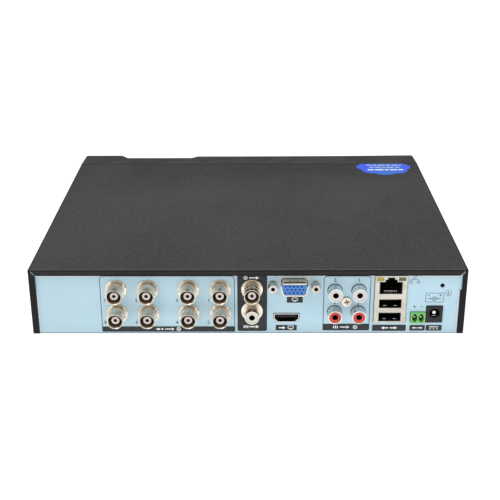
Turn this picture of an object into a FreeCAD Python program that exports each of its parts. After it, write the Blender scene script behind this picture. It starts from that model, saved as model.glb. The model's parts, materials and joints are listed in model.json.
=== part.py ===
"""A compact eight-channel video recorder, as an assembly of the pieces that it comes apart into.

Frame: the origin is the middle of the footprint on the table, +Z up. The rear panel with its sockets
faces -Y, the plastic front bezel faces +Y, and +X is to the right of someone who faces the rear panel.
Lengths are millimetres. SIZES holds the driving dimensions, PLACES the positions worked out from them.
The rear panel's sockets are set out from its right-hand wall, each a step from the one before. Sizes
ending in _share are shares of the case's height, those in _from_right count from the main board's
right-hand edge, and those in _front count back from its front edge.
"""

import FreeCAD, Part
import Sketcher
import math
import os
import re

from FreeCAD import Placement, Rotation, Vector

SIZES = {
    # Folded steel case
    "case_width": 256, "case_height": 42.5, "case_depth": 196.5, "steel": 1.0, "bend_radius": 0.8,
    "cover_rise": 1, "lip_radius": 0.72, "lip_width": 3.9, "lip_step": 0.9, "lip_step_height": 29,
    "mitre_inset": 0.5, "mitre_gap": 0.6, "mitre_end": 1.03, "fit_gap": 0.3, "snug": 0.05,
    "flange_height": 12, "vent_width": 2.4, "vent_height": 15, "vent_pitch": 6, "vent_count": 16,
    "vent_rise": 3, "floor_vent_length": 24, "floor_vent_inset": 27.5, "floor_vent_setback": 82.25,
    "floor_vent_count": 6, "cover_screw_inset": 24, "cover_screw_height": 6,
    "flat_head_radius": 2.7, "flat_head_depth": 0.8,
    # Feet
    "foot_height": 3, "foot_radius": 8, "foot_inset": 24, "foot_chamfer": 1, "foot_taper": 0.6,
    "foot_stem_radius": 2.4, "foot_play": 0.1, "foot_barb": 0.8, "foot_barb_height": 2,
    # Moulded front
    "bezel_depth": 22, "bezel_wall": 2.4, "seam_gap": 0.4, "side_draft": 0.9, "front_bow": 2.1,
    "bow_radius": 5000, "corner_radius": 1.6, "edge_radius": 0.6, "tongue_length": 3,
    "tongue_wall": 1.5, "hook_width": 10, "hook_inset": 15.5, "hook_rise": 5, "hook_bite": 1.0,
    "hook_length": 3, "hook_play": 0.1, "hook_web": 2, "scoop_inset": 58.5, "scoop_floor": 49,
    "scoop_depth": 6.2, "scoop_slope": 5, "window_width": 38, "window_height": 13,
    "window_share": 0.588, "window_rebate": 1.0, "window_ledge": 1.2, "light_pitch": 8,
    "light_rise": 11, "light_radius": 1.5, "lamp_length": 4, "lamp_gap": 0.2,
    "receiver_width": 6, "receiver_height": 7, "receiver_gap": 1, "front_board_width": 46,
    "front_board_rise": 5.5, "front_board_gap": 7, "front_boss_radius": 3, "front_screw_x": 19,
    "front_screw_rise": 5,
    # Rear panel
    "label_gap": 0.1, "label_thickness": 0.3, "label_margin": 0.3,
    "hole_gap": 0.3, "ground_step": 3.65, "ground_share": 0.748, "tap_radius": 1.25,
    # Bayonet video sockets
    "jack_reach": 10, "video_step": 18.6, "column_pitch": 18.6, "pair_pitch": 42.5,
    "video_low_share": 0.323, "video_high_share": 0.689, "nose_radius": 4.6, "nose_length": 4.3,
    "barrel_radius": 4.85, "barrel_bore": 4.05, "barrel_depth": 8.6, "barrel_chamfer": 0.3,
    "lug_radius": 0.95, "lug_rise": 0.65, "lug_root": 0.4, "lug_back": 5.4, "dish_radius": 6.3,
    "dish_rim": 0.8, "dish_recess": 0.9, "dish_proud": 0.4, "insulator_radius": 2.35,
    "insulator_recess": 2, "contact_radius": 1.1, "contact_bore": 0.65, "tail_depth": 4,
    "housing_width": 14.6, "housing_depth": 15, "housing_crown": 7.4,
    # Output sockets
    "output_step": 24.7, "output_low_share": 0.36, "output_high_share": 0.694, "audio_out_reach": 8.2,
    # Phono sockets
    "audio_step": 18.65, "audio_pitch": 14, "audio_low_share": 0.346, "audio_high_share": 0.676,
    "audio_reach": 6.6, "phono_radius": 4.15, "phono_tail_radius": 3.85, "phono_wall": 0.6,
    "phono_bore": 1.75, "phono_recess": 0.3, "phono_seat": 3, "audio_block_depth": 13,
    "audio_block_rim": 6.4,
    # Analogue monitor socket
    "monitor_step": 23.9, "monitor_share": 0.758, "monitor_width": 16.9, "monitor_height": 8.3,
    "monitor_slant": 1.45, "monitor_wall": 0.75, "monitor_reach": 5.8, "monitor_corner": 2.3,
    "monitor_recess": 0.3, "monitor_pin_pitch": 2.29, "monitor_row_pitch": 1.98,
    "monitor_pin_radius": 0.55, "monitor_pin_depth": 4, "monitor_ear_width": 30.8,
    "monitor_ear_height": 12.4, "monitor_ear_thickness": 0.8, "monitor_body_depth": 9,
    "monitor_leg": 1.6, "post_pitch": 24.99, "post_radius": 2.8, "post_bore": 1.2,
    "post_length": 5, "post_floor": 1, "post_shank": 1.5, "post_tail": 3,
    # Digital monitor socket
    "digital_step": 4.3, "digital_rise": 0.2, "digital_width": 15, "digital_height": 5.6,
    "digital_wall": 0.4, "digital_chamfer": 2, "digital_proud": 0.5, "digital_depth": 11,
    "digital_plug": 3, "digital_recess": 1, "digital_tongue_rise": 0.6,
    "digital_tongue_width": 11.4, "digital_tongue": 1.0,
    # Network and twin serial bus sockets
    "lan_step": 16.8, "lan_width": 18.8, "lan_roof_gap": 3.3, "lan_depth": 21, "lan_skin": 0.5,
    "lan_setback": 0.3, "lan_end": 1, "network_width": 13.4, "network_cavity": 12.4,
    "network_height": 7.8, "network_drop": 11.5, "network_depth": 14, "notch_width": 7,
    "notch_height": 1.5, "latch_width": 4.2, "latch_height": 1.3, "wire_width": 0.35,
    "wire_pitch": 1.02, "wire_recess": 2, "wire_rise": 2.6, "wire_thickness": 0.4,
    "network_light_width": 4.1, "network_light_height": 2.2, "network_light_rise": 0.7,
    "network_light_offset": 6.4, "network_light_length": 6, "bus_width": 13.2, "bus_height": 5.7,
    "bus_low": 0.9, "bus_margin": 1.3, "bus_wall": 0.4, "bus_depth": 12, "bus_tongue_width": 11,
    "bus_tongue": 1.9, "bus_tongue_drop": 0.5, "bus_tongue_play": 0.2, "bus_tongue_length": 8.8,
    # Control terminal and power socket
    "terminal_step": 9.6, "terminal_width": 8.7, "terminal_height": 6.6, "terminal_depth": 12,
    "terminal_pitch": 3.81, "terminal_cell": 2.9, "terminal_cell_height": 3.4, "terminal_key": 1.5,
    "terminal_key_height": 5.4,
    "terminal_cell_depth": 8, "terminal_pin": 1.0, "terminal_recess": 2, "terminal_end": 1,
    "terminal_reach": 0.5, "power_inset": 17.95, "power_width": 9.4, "power_height": 10.6,
    "power_depth": 14, "power_rise": 6, "power_bore": 3.15, "power_bore_depth": 9.5,
    "power_pin": 1.0, "power_pin_recess": 1.5, "power_root": 2, "power_setback": 0.3,
    "spring_width": 1.6, "spring_thickness": 0.3, "spring_rise": 0.2,
    # Main board and what it carries
    "board_right_inset": 8.5, "board_width": 211, "board_thickness": 1.6, "board_setback": 0.8,
    "board_clearance": 2.9, "standoff_height": 5.4, "standoff_radius": 3, "board_hole_inset": 5,
    "board_rear_row": 24, "board_middle_from_right": 129, "pan_head_radius": 2.9, "pan_head_height": 1.8,
    "screw_radius": 1.5, "screw_length": 5, "screw_clearance": 0.1,
    "processor_from_right": 109, "processor_front": 31, "processor_width": 19, "processor_height": 1.4,
    "sink_width": 30, "sink_base": 2.5, "fin_height": 10, "fin_thickness": 1.2, "fin_pitch": 4.6,
    "fin_count": 7, "memory_from_right": 138, "memory_front": 35, "memory_pitch": 15, "memory_width": 9,
    "memory_depth": 13, "memory_height": 1.2, "decoder_from_right": 199, "decoder_pitch": 42,
    "decoder_y": 36, "decoder_width": 12, "decoder_height": 1.4, "network_chip_from_right": 41,
    "network_chip_y": 36, "network_chip_width": 8, "network_chip_height": 1.2,
    "network_coil_from_right": 61, "network_coil_y": 34, "network_coil_width": 12,
    "network_coil_depth": 9, "network_coil_height": 6, "power_coil_from_right": 15,
    "power_coil_front": 33, "power_coil_pitch": 16, "power_coil_width": 11,
    "power_coil_height": 5.5, "cell_from_right": 177, "cell_front": 21, "cell_radius": 10,
    "cell_height": 3.2, "buzzer_from_right": 53, "buzzer_front": 17, "buzzer_radius": 6,
    "buzzer_height": 8.5, "capacitor_from_right": 29, "capacitor_front": 39, "capacitor_pitch": 10,
    "capacitor_radius": 4, "capacitor_height": 10, "socket_from_right": 163, "socket_pitch": 22,
    "socket_width": 16.5, "socket_depth": 6.5, "socket_height": 8.5, "socket_front": 1,
    "socket_wall": 1.2, "socket_floor": 2,
    # Hard disk drive
    "drive_inset": 103.5, "drive_length": 147, "drive_width": 101.6, "drive_height": 26.1,
    "drive_lift": 3, "drive_margin": 1.5, "drive_corner": 3, "drive_wall": 3,
    "drive_side_wall": 2, "bay_corner": 11, "drive_cover_thickness": 1.2, "lid_margin": 0.5,
    "emboss_radius": 4.5, "deck_height": 7, "deck_root": 1, "drive_recess": 3.2,
    "drive_end_rail": 12, "rail_width": 6.5, "rail_hole_x": -32.2, "rail_hole_pitch": 76.2,
    "rail_hole_y": 47.6, "rail_hole_radius": 1.6, "rail_hole_depth": 6, "lid_screw_inset": 4,
    "lid_screw_radius": 1, "lid_screw_length": 5, "lid_head_radius": 2, "lid_head_height": 1,
    "circuit_thickness": 1.2, "circuit_inset": 8, "circuit_end": 12, "circuit_gap": 0.3,
    "drive_chip_x": -20, "drive_chip_y": 18, "drive_chip": 14, "drive_chip_height": 1.3,
    "drive_plug_inset": 4.6, "drive_plug_y": -8, "drive_plug_depth": 8, "drive_plug_width": 46,
    "drive_plug_rise": 0.4, "disk_radius": 47.5, "disk_thickness": 1.27, "disk_low": 3.0,
    "disk_pitch": 4.5, "spindle_x": 22, "spindle_radius": 6, "spindle_gap": 0.1,
    "hub_radius": 12.5, "hub_lift": 1, "hub_cap": 0.7, "clamp_radius": 16,
    "clamp_thickness": 1.2, "running_gap": 0.05, "pivot_x": -34.5, "pivot_y": -17,
    "pivot_radius": 4, "pivot_gap": 0.3, "arm_hub_radius": 8, "arm_hub_lift": 0.7,
    "arm_hub_rise": 2.4, "arm_lift": 1, "arm_length": 47.5, "arm_tip": 3, "arm_root": 11,
    "arm_thickness": 1.0, "arm_park_angle": 73.8, "coil_reach": 24, "coil_thickness": 2.2,
    "coil_near": 11, "coil_half_near": 7, "coil_half_far": 11, "coil_band": 4,
}

PLACES = {
    "overall_depth": "jack_reach + case_depth + bezel_depth",
    "mouth_y": "-overall_depth/2",
    "rear_y": "mouth_y + jack_reach",
    "seam_y": "rear_y + case_depth",
    "bezel_y": "seam_y + seam_gap",
    "front_y": "seam_y + bezel_depth",
    "half_width": "case_width/2",
    "base_z": "foot_height",
    "cover_z": "base_z + cover_rise",
    "floor_z": "base_z + steel",
    "top_z": "base_z + case_height",
    "roof_z": "top_z - steel",
    "label_y": "rear_y + steel + label_gap",
    "wall_y": "label_y + label_thickness",
    "inner_y": "wall_y + steel",
    "tray_half": "half_width - steel - fit_gap",
    "tray_top": "roof_z - fit_gap",
    "tray_front": "seam_y - tongue_length - fit_gap",
    "floor_vent_x": "-half_width + floor_vent_inset",
    "floor_vent_y": "seam_y - floor_vent_setback",
    "board_z": "floor_z + standoff_height",
    "deck_z": "board_z + board_thickness",
    "board_y": "inner_y + board_setback",
    "board_right": "half_width - board_right_inset",
    "board_left": "board_right - board_width",
    "board_middle_x": "board_right - board_middle_from_right",
    "board_front": "drive_y - drive_width/2 - board_clearance",
    "ground_x": "power_x + ground_step",
    "ground_z": "base_z + ground_share*case_height",
    "video_x": "output_x - video_step - pair_pitch - column_pitch",
    "video_low_z": "base_z + video_low_share*case_height",
    "video_high_z": "base_z + video_high_share*case_height",
    "output_x": "monitor_x - output_step",
    "output_low_z": "base_z + output_low_share*case_height",
    "output_high_z": "base_z + output_high_share*case_height",
    "audio_right_x": "lan_x - audio_step",
    "audio_x": "audio_right_x - audio_pitch",
    "audio_low_z": "base_z + audio_low_share*case_height",
    "audio_high_z": "base_z + audio_high_share*case_height",
    "audio_mouth_y": "rear_y - audio_reach",
    "audio_out_y": "rear_y - audio_out_reach",
    "block_screw_x": "audio_x + audio_pitch/2",
    "block_screw_z": "(audio_low_z + audio_high_z)/2",
    "monitor_x": "audio_x - monitor_step",
    "monitor_z": "base_z + monitor_share*case_height",
    "monitor_mouth_y": "rear_y - monitor_reach",
    "monitor_back_y": "inner_y + monitor_ear_thickness",
    "digital_x": "monitor_x - digital_step",
    "digital_z": "deck_z + digital_height/2 + digital_rise",
    "digital_mouth_y": "label_y - digital_proud",
    "lan_x": "terminal_x - lan_step",
    "lan_y": "rear_y + lan_setback",
    "lan_face_y": "lan_y + lan_skin",
    "lan_top_z": "roof_z - lan_roof_gap",
    "lan_height": "lan_top_z - deck_z",
    "network_rise": "lan_height - network_drop",
    "network_z": "deck_z + network_rise",
    "network_top": "network_z + network_height",
    "light_low_z": "network_top + network_light_rise",
    "bus_pitch": "(network_rise - bus_margin)/2",
    "terminal_x": "power_x - terminal_step",
    "terminal_y": "rear_y - terminal_reach",
    "terminal_z": "deck_z + terminal_height/2",
    "power_x": "half_width - power_inset",
    "power_y": "rear_y + power_setback",
    "power_z": "deck_z + power_rise",
    "spring_z": "power_z - power_bore + spring_rise",
    "jack_tail": "inner_y + hole_gap - mouth_y",
    "housing_y": "mouth_y + jack_tail",
    "hook_x": "half_width - hook_inset",
    "hook_z": "floor_z + hook_rise",
    "hook_y": "tray_front - steel - hook_length",
    "scoop_x": "-half_width + scoop_inset",
    "scoop_y": "front_y - scoop_depth",
    "scoop_left": "scoop_x - scoop_floor/2",
    "scoop_right": "scoop_x + scoop_floor/2",
    "window_z": "base_z + window_share*case_height",
    "light_z": "base_z + light_rise",
    "front_board_y": "scoop_y - bezel_wall - front_board_gap",
    "front_board_z": "base_z + front_board_rise",
    "front_board_height": "case_height - 2*front_board_rise",
    "front_screw_z": "front_board_z + front_screw_rise",
    "foot_x": "half_width - foot_inset",
    "rear_foot_y": "rear_y + foot_inset",
    "front_foot_y": "seam_y - foot_inset",
    "drive_x": "half_width - drive_inset",
    "drive_y": "tray_front - steel - drive_margin - drive_width/2",
    "drive_z": "floor_z + drive_lift",
    "drive_half": "drive_length/2",
    "drive_side": "drive_width/2",
    "drive_top": "drive_height - drive_cover_thickness",
    "lid_screw_x": "drive_half - lid_screw_inset",
    "lid_screw_y": "drive_side - lid_screw_inset",
    "disk_z": "deck_height + disk_low",
    "disk_top": "disk_z + disk_pitch + disk_thickness",
    "hub_z": "deck_height + hub_lift",
    "hub_top": "disk_top - hub_cap",
    "arm_bottom": "deck_height + arm_hub_lift",
    "arm_low": "deck_height + arm_lift",
    "arm_top": "disk_top + arm_hub_rise",
    "coil_z": "(arm_bottom + arm_top)/2 - coil_thickness/2",
}

WORD = re.compile(r"[a-z][a-z0-9_]*")
TINY = 1e-4

doc = FreeCAD.newDocument("video_recorder")
sheet = doc.addObject("Spreadsheet::Sheet", "Sizes")
for row, (alias, size) in enumerate(SIZES.items(), 1):
    sheet.set(f"A{row}", str(size))
    sheet.setAlias(f"A{row}", alias)
doc.recompute()

nodes = []


# ---- Formulas, sketches and features

def full(text):
    """The formula with each size as its cell and each place as its own formula."""
    def swap(match):
        word = match.group(0)
        if word in SIZES:
            return "Sizes." + word
        return f"({full(PLACES[word])})" if word in PLACES else word
    return WORD.sub(swap, str(text))


def number(text):
    return float(sheet.evalExpression(full(text)))


def bind(thing, **formulas):
    for name, text in formulas.items():
        thing.setExpression(name, full(text))


def place(thing, x=0, y=0, z=0, turn=None):
    """Puts a piece at x, y, z, turned about Z by the named angle."""
    for axis, text in zip("xyz", (x, y, z)):
        thing.setExpression("Placement.Base." + axis, full(text))
    if turn:
        thing.Placement.Rotation = Rotation(Vector(0, 0, 1), number(turn))
        thing.setExpression("Placement.Rotation.Angle", full(turn))
    return thing


def keep(thing, label):
    """Marks a finished piece as a node of the part."""
    thing.Label = label
    nodes.append(thing)
    return thing


def polygon(*points):
    return "polygon", points, {}


def curved(points, arcs):
    """A closed outline whose side after point n is an arc of the radius arcs[n], hollow outwards."""
    return "polygon", points, arcs


def rectangle(x0, y0, x1, y1):
    return polygon((x0, y0), (x1, y0), (x1, y1), (x0, y1))


def around(x, y, width, height):
    """A rectangle about its middle."""
    return rectangle(f"{x} - ({width})/2", f"{y} - ({height})/2", f"{x} + ({width})/2", f"{y} + ({height})/2")


def circle(x, y, radius):
    return "circle", (x, y), radius


def hexagon(x, y, radius):
    corners = [math.radians(60 * n) for n in range(6)]
    return polygon(*((f"{x} + ({radius})*{math.cos(a):.6f}", f"{y} + ({radius})*{math.sin(a):.6f}")
                     for a in corners))


def side(start, end, radius):
    """A straight side from start to end, or an arc from end to start that bows to the left of that way."""
    if radius is None:
        return Part.LineSegment(start, end)
    chord = end - start
    left = Vector(-chord.y, chord.x, 0).normalize()
    sagitta = radius - math.sqrt(radius ** 2 - (chord.Length / 2) ** 2)
    return Part.Arc(end, (start + end) / 2 + left * sagitta, start)


def draw(sketch, outline):
    """Adds an outline to a sketch, with each corner, middle and radius held by its formula."""
    kind, points, extra = outline
    held = []
    if kind == "circle":
        x, y = points
        made = sketch.addGeometry(Part.Circle(Vector(number(x), number(y)), Vector(0, 0, 1), number(extra)))
        held = [("Radius", made, None, extra), ("DistanceX", made, 3, x), ("DistanceY", made, 3, y)]
        joints = []
    else:
        corners = [Vector(number(x), number(y)) for x, y in points]
        ends = []
        for n, corner in enumerate(corners):
            radius = extra.get(n)
            after = corners[(n + 1) % len(corners)]
            made = sketch.addGeometry(side(corner, after, radius and number(radius)))
            ends.append((made, 2, 1) if radius else (made, 1, 2))
            held += [("DistanceX", made, ends[-1][1], points[n][0]),
                     ("DistanceY", made, ends[-1][1], points[n][1])]
            if radius:
                held.append(("Radius", made, None, radius))
        joints = [Sketcher.Constraint("Coincident", a, last, b, first)
                  for (a, _, last), (b, first, _) in zip(ends, ends[1:] + ends[:1])]
    sizes = [Sketcher.Constraint(name, made, number(text)) if end is None
             else Sketcher.Constraint(name, -1, 1, made, end, number(text))
             for name, made, end, text in held]
    sketch.addConstraint(joints)
    for index, (_, _, _, text) in zip(sketch.addConstraint(sizes), held):
        sketch.setExpression(f"Constraints[{index}]", full(text))


class Piece:
    """A PartDesign body that is built up feature by feature.

    A feature starts at a place on its plane's axis and runs from there towards the axis's positive end.
    """

    NORMAL = {"XY": 1, "XZ": -1, "YZ": 1}

    def __init__(self, label, x=0, y=0, z=0, turn=None):
        self.body = doc.addObject("PartDesign::Body", label)
        self.body.Label = label
        place(self.body, x, y, z, turn)

    def sketch(self, plane, start, outlines):
        sketch = self.body.newObject("Sketcher::SketchObject", self.body.Name + "_sketch")
        origin = next(f for f in self.body.Origin.OriginFeatures if f.Role == plane + "_Plane")
        sketch.AttachmentSupport = (origin, [""])
        sketch.MapMode = "FlatFace"
        sketch.setExpression("AttachmentOffset.Base.z", full(f"{self.NORMAL[plane]}*({start})"))
        for outline in outlines:
            draw(sketch, outline)
        return sketch

    def feature(self, kind, profile, **formulas):
        made = self.body.newObject("PartDesign::" + kind, f"{self.body.Name}_{kind.lower()}")
        made.Profile = profile
        bind(made, **formulas)
        return made

    def pad(self, plane, start, length, *outlines):
        made = self.feature("Pad", self.sketch(plane, start, outlines), Length=length)
        made.Reversed = self.NORMAL[plane] < 0
        return made

    def pocket(self, plane, start, length, *outlines):
        made = self.feature("Pocket", self.sketch(plane, start, outlines), Length=length)
        made.Reversed = self.NORMAL[plane] > 0
        return made

    def revolve(self, plane, *points):
        """Turns an outline of (radius, height) points about the plane's upright axis."""
        sketch = self.sketch(plane, 0, [polygon(*points)])
        made = self.feature("Revolution", sketch)
        made.ReferenceAxis = (sketch, ["V_Axis"])
        made.Angle = 360
        return made

    def repeat(self, feature, axis, pitch, count):
        """Repeats a feature along its sketch's H_Axis or V_Axis."""
        made = self.body.newObject("PartDesign::LinearPattern", self.body.Name + "_pattern")
        made.Originals = [feature]
        made.Direction = (feature.Profile[0], [axis])
        made.Mode = "Spacing"
        bind(made, Offset=pitch, Occurrences=count)
        self.body.Tip = made
        return made

    def edges(self, chosen):
        doc.recompute()
        shape = self.body.Tip.Shape
        return [f"Edge{n}" for n, edge in enumerate(shape.Edges, 1) if chosen(edge)]

    def soften(self, kind, size, chosen):
        """Rounds or chamfers the edges that the test picks."""
        names = self.edges(chosen)
        base = self.body.Tip
        made = self.body.newObject("PartDesign::" + kind, f"{self.body.Name}_{kind.lower()}")
        made.Base = (base, names)
        bind(made, **{"Radius" if kind == "Fillet" else "Size": size})
        doc.recompute()
        return made


def runs_along(edge, axis):
    """True for a straight edge parallel to X, Y or Z."""
    if len(edge.Vertexes) != 2 or edge.Curve.TypeId != "Part::GeomLine":
        return False
    way = edge.Vertexes[1].Point - edge.Vertexes[0].Point
    return abs(abs(way["XYZ".index(axis)]) - way.Length) < TINY


def middle(edge):
    return edge.BoundBox.Center


def box(name, x, y, z, length, width, height):
    """A block from its lowest corner."""
    made = doc.addObject("Part::Box", name)
    bind(made, Length=length, Width=width, Height=height)
    return place(made, x, y, z)


TURNS = {"X": Rotation(Vector(0, 1, 0), 90), "Y": Rotation(Vector(1, 0, 0), -90), "Z": Rotation()}


def rod(name, axis, x, y, z, radius, length):
    """A round bar that starts at x, y, z and runs along the axis."""
    made = doc.addObject("Part::Cylinder", name)
    bind(made, Radius=radius, Height=length)
    made.Placement.Rotation = TURNS[axis]
    return place(made, x, y, z)


def fuse(name, *things):
    made = doc.addObject("Part::MultiFuse", name)
    made.Shapes = list(things)
    return made


def cut(name, base, *tools):
    made = doc.addObject("Part::Cut", name)
    made.Base = base
    made.Tool = tools[0] if len(tools) == 1 else fuse(name + "_tools", *tools)
    return made


def group(label, things):
    """Separate solids of one kind, as one node."""
    made = doc.addObject("Part::Compound", label)
    made.Links = [thing.body if isinstance(thing, Piece) else thing for thing in things]
    return keep(made, label)


# ---- Steel case

LEFT_RIGHT = (-1, 1)
VIDEO_X = [f"video_x + {column}*column_pitch + {pair}*pair_pitch" for pair in (0, 1) for column in (0, 1)]
VIDEO_Z = ("video_high_z", "video_low_z")
RING_JACKS = ([(x, z) for z in VIDEO_Z for x in VIDEO_X]
              + [("output_x", "output_high_z"), ("output_x", "output_low_z")])
AUDIO = [(x, z) for z in ("audio_high_z", "audio_low_z") for x in ("audio_x", "audio_right_x")]
POSTS = [f"monitor_x + {s}*post_pitch/2" for s in LEFT_RIGHT]
RAIL_HOLES = [(f"rail_hole_x + {n}*rail_hole_pitch", f"{s}*rail_hole_y") for n in (0, 1) for s in LEFT_RIGHT]
FEET = [(f"{s}*foot_x", y) for s in LEFT_RIGHT for y in ("rear_foot_y", "front_foot_y")]
COVER_SCREWS_Y = ("rear_y + cover_screw_inset", "seam_y - cover_screw_inset")
BOARD_HOLES = [(x, y) for x in ("board_left + board_hole_inset", "board_middle_x",
                                "board_right - board_hole_inset")
               for y in ("board_y + board_rear_row", "board_front - board_hole_inset")]


def monitor_outline(inset):
    """The slanted outline of the analogue monitor socket, wide side up."""
    half = f"(monitor_width/2 - {inset})"
    rise = f"(monitor_height/2 - {inset})"
    return polygon((f"monitor_x - {half}", f"monitor_z + {rise}"),
                   (f"monitor_x - {half} + monitor_slant", f"monitor_z - {rise}"),
                   (f"monitor_x + {half} - monitor_slant", f"monitor_z - {rise}"),
                   (f"monitor_x + {half}", f"monitor_z + {rise}"))


def digital_outline(inset):
    """The outline of the digital monitor socket, with its two lower corners cut off."""
    half = f"(digital_width/2 - {inset})"
    rise = f"(digital_height/2 - {inset})"
    return polygon((f"digital_x - {half}", f"digital_z + {rise}"),
                   (f"digital_x - {half}", f"digital_z - {rise} + digital_chamfer"),
                   (f"digital_x - {half} + digital_chamfer", f"digital_z - {rise}"),
                   (f"digital_x + {half} - digital_chamfer", f"digital_z - {rise}"),
                   (f"digital_x + {half}", f"digital_z - {rise} + digital_chamfer"),
                   (f"digital_x + {half}", f"digital_z + {rise}"))


def board_side(x, width, height, gap="0"):
    """The rear outline of a socket that stands on the main board."""
    return rectangle(f"{x} - {width}/2 - {gap}", f"deck_z - {gap}", f"{x} + {width}/2 + {gap}",
                     f"deck_z + {height} + {gap}")


def stepped_hole():
    """One opening for the control terminal and the taller power socket beside it."""
    left = "terminal_x - terminal_width/2 - hole_gap"
    step = "power_x - power_width/2 - hole_gap"
    right = "power_x + power_width/2 + hole_gap"
    low = "deck_z - hole_gap"
    power_top = "deck_z + power_height + hole_gap"
    terminal_top = "deck_z + terminal_height + hole_gap"
    return polygon((left, low), (right, low), (right, power_top), (step, power_top), (step, terminal_top),
                   (left, terminal_top))


def port_holes(ground, post):
    """The openings that the rear wall and the label share."""
    return ([circle(x, z, "dish_radius + snug") for x, z in RING_JACKS]
            + [circle(x, z, "phono_radius + hole_gap") for x, z in AUDIO]
            + [circle(x, "monitor_z", post) for x in POSTS]
            + [monitor_outline("-hole_gap"), digital_outline("-hole_gap"), stepped_hole(),
               board_side("lan_x", "lan_width", "lan_height", "hole_gap"),
               circle("ground_x", "ground_z", ground)])


def base_tray():
    tray = Piece("base_tray")
    tray.pad("XY", "base_z", "tray_top - base_z",
             rectangle("-tray_half", "wall_y", "tray_half", "tray_front"))
    tray.soften("Fillet", "bend_radius", lambda e: abs(middle(e).z - number("base_z")) < TINY)
    tray.pocket("XY", "floor_z", "case_height",
                rectangle("-tray_half + steel", "inner_y", "tray_half - steel", "tray_front - steel"))
    tray.pocket("XY", "base_z + flange_height", "case_height",
                rectangle("-half_width", "inner_y", "half_width", "tray_front - steel"))
    tray.pocket("XY", "floor_z", "flange_height",
                *[around(f"{s}*(tray_half - steel/2)", y, "steel", "bend_radius") for s in LEFT_RIGHT
                  for y in ("inner_y + bend_radius/2", "tray_front - steel - bend_radius/2")])

    mounts = [(f"drive_x + {x}", f"drive_y + {y}") for x, y in RAIL_HOLES]
    tray.pad("XY", "floor_z", "drive_lift", *[circle(x, y, "emboss_radius") for x, y in mounts])
    tray.pocket("XY", "base_z", "drive_lift", *[circle(x, y, "emboss_radius - steel") for x, y in mounts])
    tray.pocket("XY", "base_z", "steel + drive_lift",
                *[circle(x, y, "screw_radius + screw_clearance") for x, y in mounts],
                *[circle(x, y, "foot_stem_radius + snug") for x, y in FEET])
    slot = tray.pocket("XY", "base_z", "steel",
                       rectangle("floor_vent_x", "floor_vent_y", "floor_vent_x + floor_vent_length",
                                 "floor_vent_y + vent_width"))
    tray.repeat(slot, "V_Axis", "vent_pitch", "floor_vent_count")

    tray.pocket("XZ", "wall_y", "steel", *port_holes("tap_radius", "post_shank + screw_clearance"),
                circle("block_screw_x", "block_screw_z", "screw_radius + screw_clearance"))
    tray.pocket("XZ", "tray_front - steel", "steel",
                *[around(f"{s}*hook_x", "hook_z", "hook_width + 2*fit_gap", "tongue_wall + 2*fit_gap")
                  for s in LEFT_RIGHT])
    tray.pocket("YZ", "-half_width", "case_width",
                *[circle(y, "base_z + cover_screw_height", "screw_radius + screw_clearance")
                  for y in COVER_SCREWS_Y])
    keep(tray.body, "base_tray")


def sunk_head(name, s, y):
    """The cone of a countersunk head in the cover's side wall."""
    cone = doc.addObject("Part::Cone", name)
    bind(cone, Radius1="flat_head_radius", Radius2="screw_radius", Height="flat_head_depth")
    cone.Placement.Rotation = Rotation(Vector(0, 1, 0), -90 * s)
    return place(cone, f"{s}*half_width", y, "base_z + cover_screw_height")


def mitre(s):
    """The slot from the rear opening's corner to the case's, where the folded lips part."""
    x = "half_width - lip_width - mitre_inset"
    z = "top_z - lip_width - mitre_inset"
    return polygon((f"{s}*({x} + mitre_gap)", z), (f"{s}*half_width", "top_z - mitre_end"),
                   (f"{s}*(half_width - mitre_end)", "top_z"), (f"{s}*({x})", f"{z} + mitre_gap"))


def top_cover():
    cover = Piece("folded_cover")
    cover.pad("XZ", "rear_y", "case_depth", rectangle("-half_width", "cover_z", "half_width", "top_z"))
    cover.soften("Fillet", "bend_radius",
                 lambda e: abs(middle(e).z - number("top_z")) < TINY and runs_along(e, "Y"))
    rear = number("rear_y")
    low = number("cover_z + steel")
    cover.soften("Fillet", "lip_radius", lambda e: abs(middle(e).y - rear) < TINY and middle(e).z > low)
    cover.pocket("XZ", "rear_y + steel", "case_depth",
                 rectangle("-half_width + steel", "0", "half_width - steel", "roof_z"))
    left = "-half_width + lip_width"
    right = "half_width - lip_width"
    step = "base_z + lip_step_height"
    cover.pocket("XZ", "rear_y", "steel",
                 polygon((left, "0"), (right, "0"), (right, step), (f"{right} + lip_step", step),
                         (f"{right} + lip_step", "top_z - lip_width"), (left, "top_z - lip_width")))
    cover.pocket("XZ", "rear_y", "steel", *[mitre(s) for s in LEFT_RIGHT])
    vent = cover.pocket("YZ", "-half_width", "case_width",
                        around("rear_y + case_depth/2 - vent_pitch*(vent_count - 1)/2",
                               "base_z + flange_height + vent_rise + vent_height/2",
                               "vent_width", "vent_height"))
    cover.repeat(vent, "H_Axis", "vent_pitch", "vent_count")
    holes = [sunk_head(f"cover_sink_{s + 1}_{n}", s, y)
             for s in LEFT_RIGHT for n, y in enumerate(COVER_SCREWS_Y)]
    holes += [rod(f"cover_bore_{n}", "X", "-half_width", y, "base_z + cover_screw_height",
                  "screw_radius + screw_clearance", "case_width") for n, y in enumerate(COVER_SCREWS_Y)]
    keep(cut("top_cover", cover.body, *holes), "top_cover")


def cover_screw(name, s, y):
    start = "-half_width" if s < 0 else "half_width - screw_length"
    shank = rod(name + "_shank", "X", start, y, "base_z + cover_screw_height", "screw_radius", "screw_length")
    return fuse(name, shank, sunk_head(name + "_head", s, y))


def cover_screws():
    group("cover_screws", [cover_screw(f"cover_screw_{s + 1}_{n}", s, y)
                           for s in LEFT_RIGHT for n, y in enumerate(COVER_SCREWS_Y)])


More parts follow.
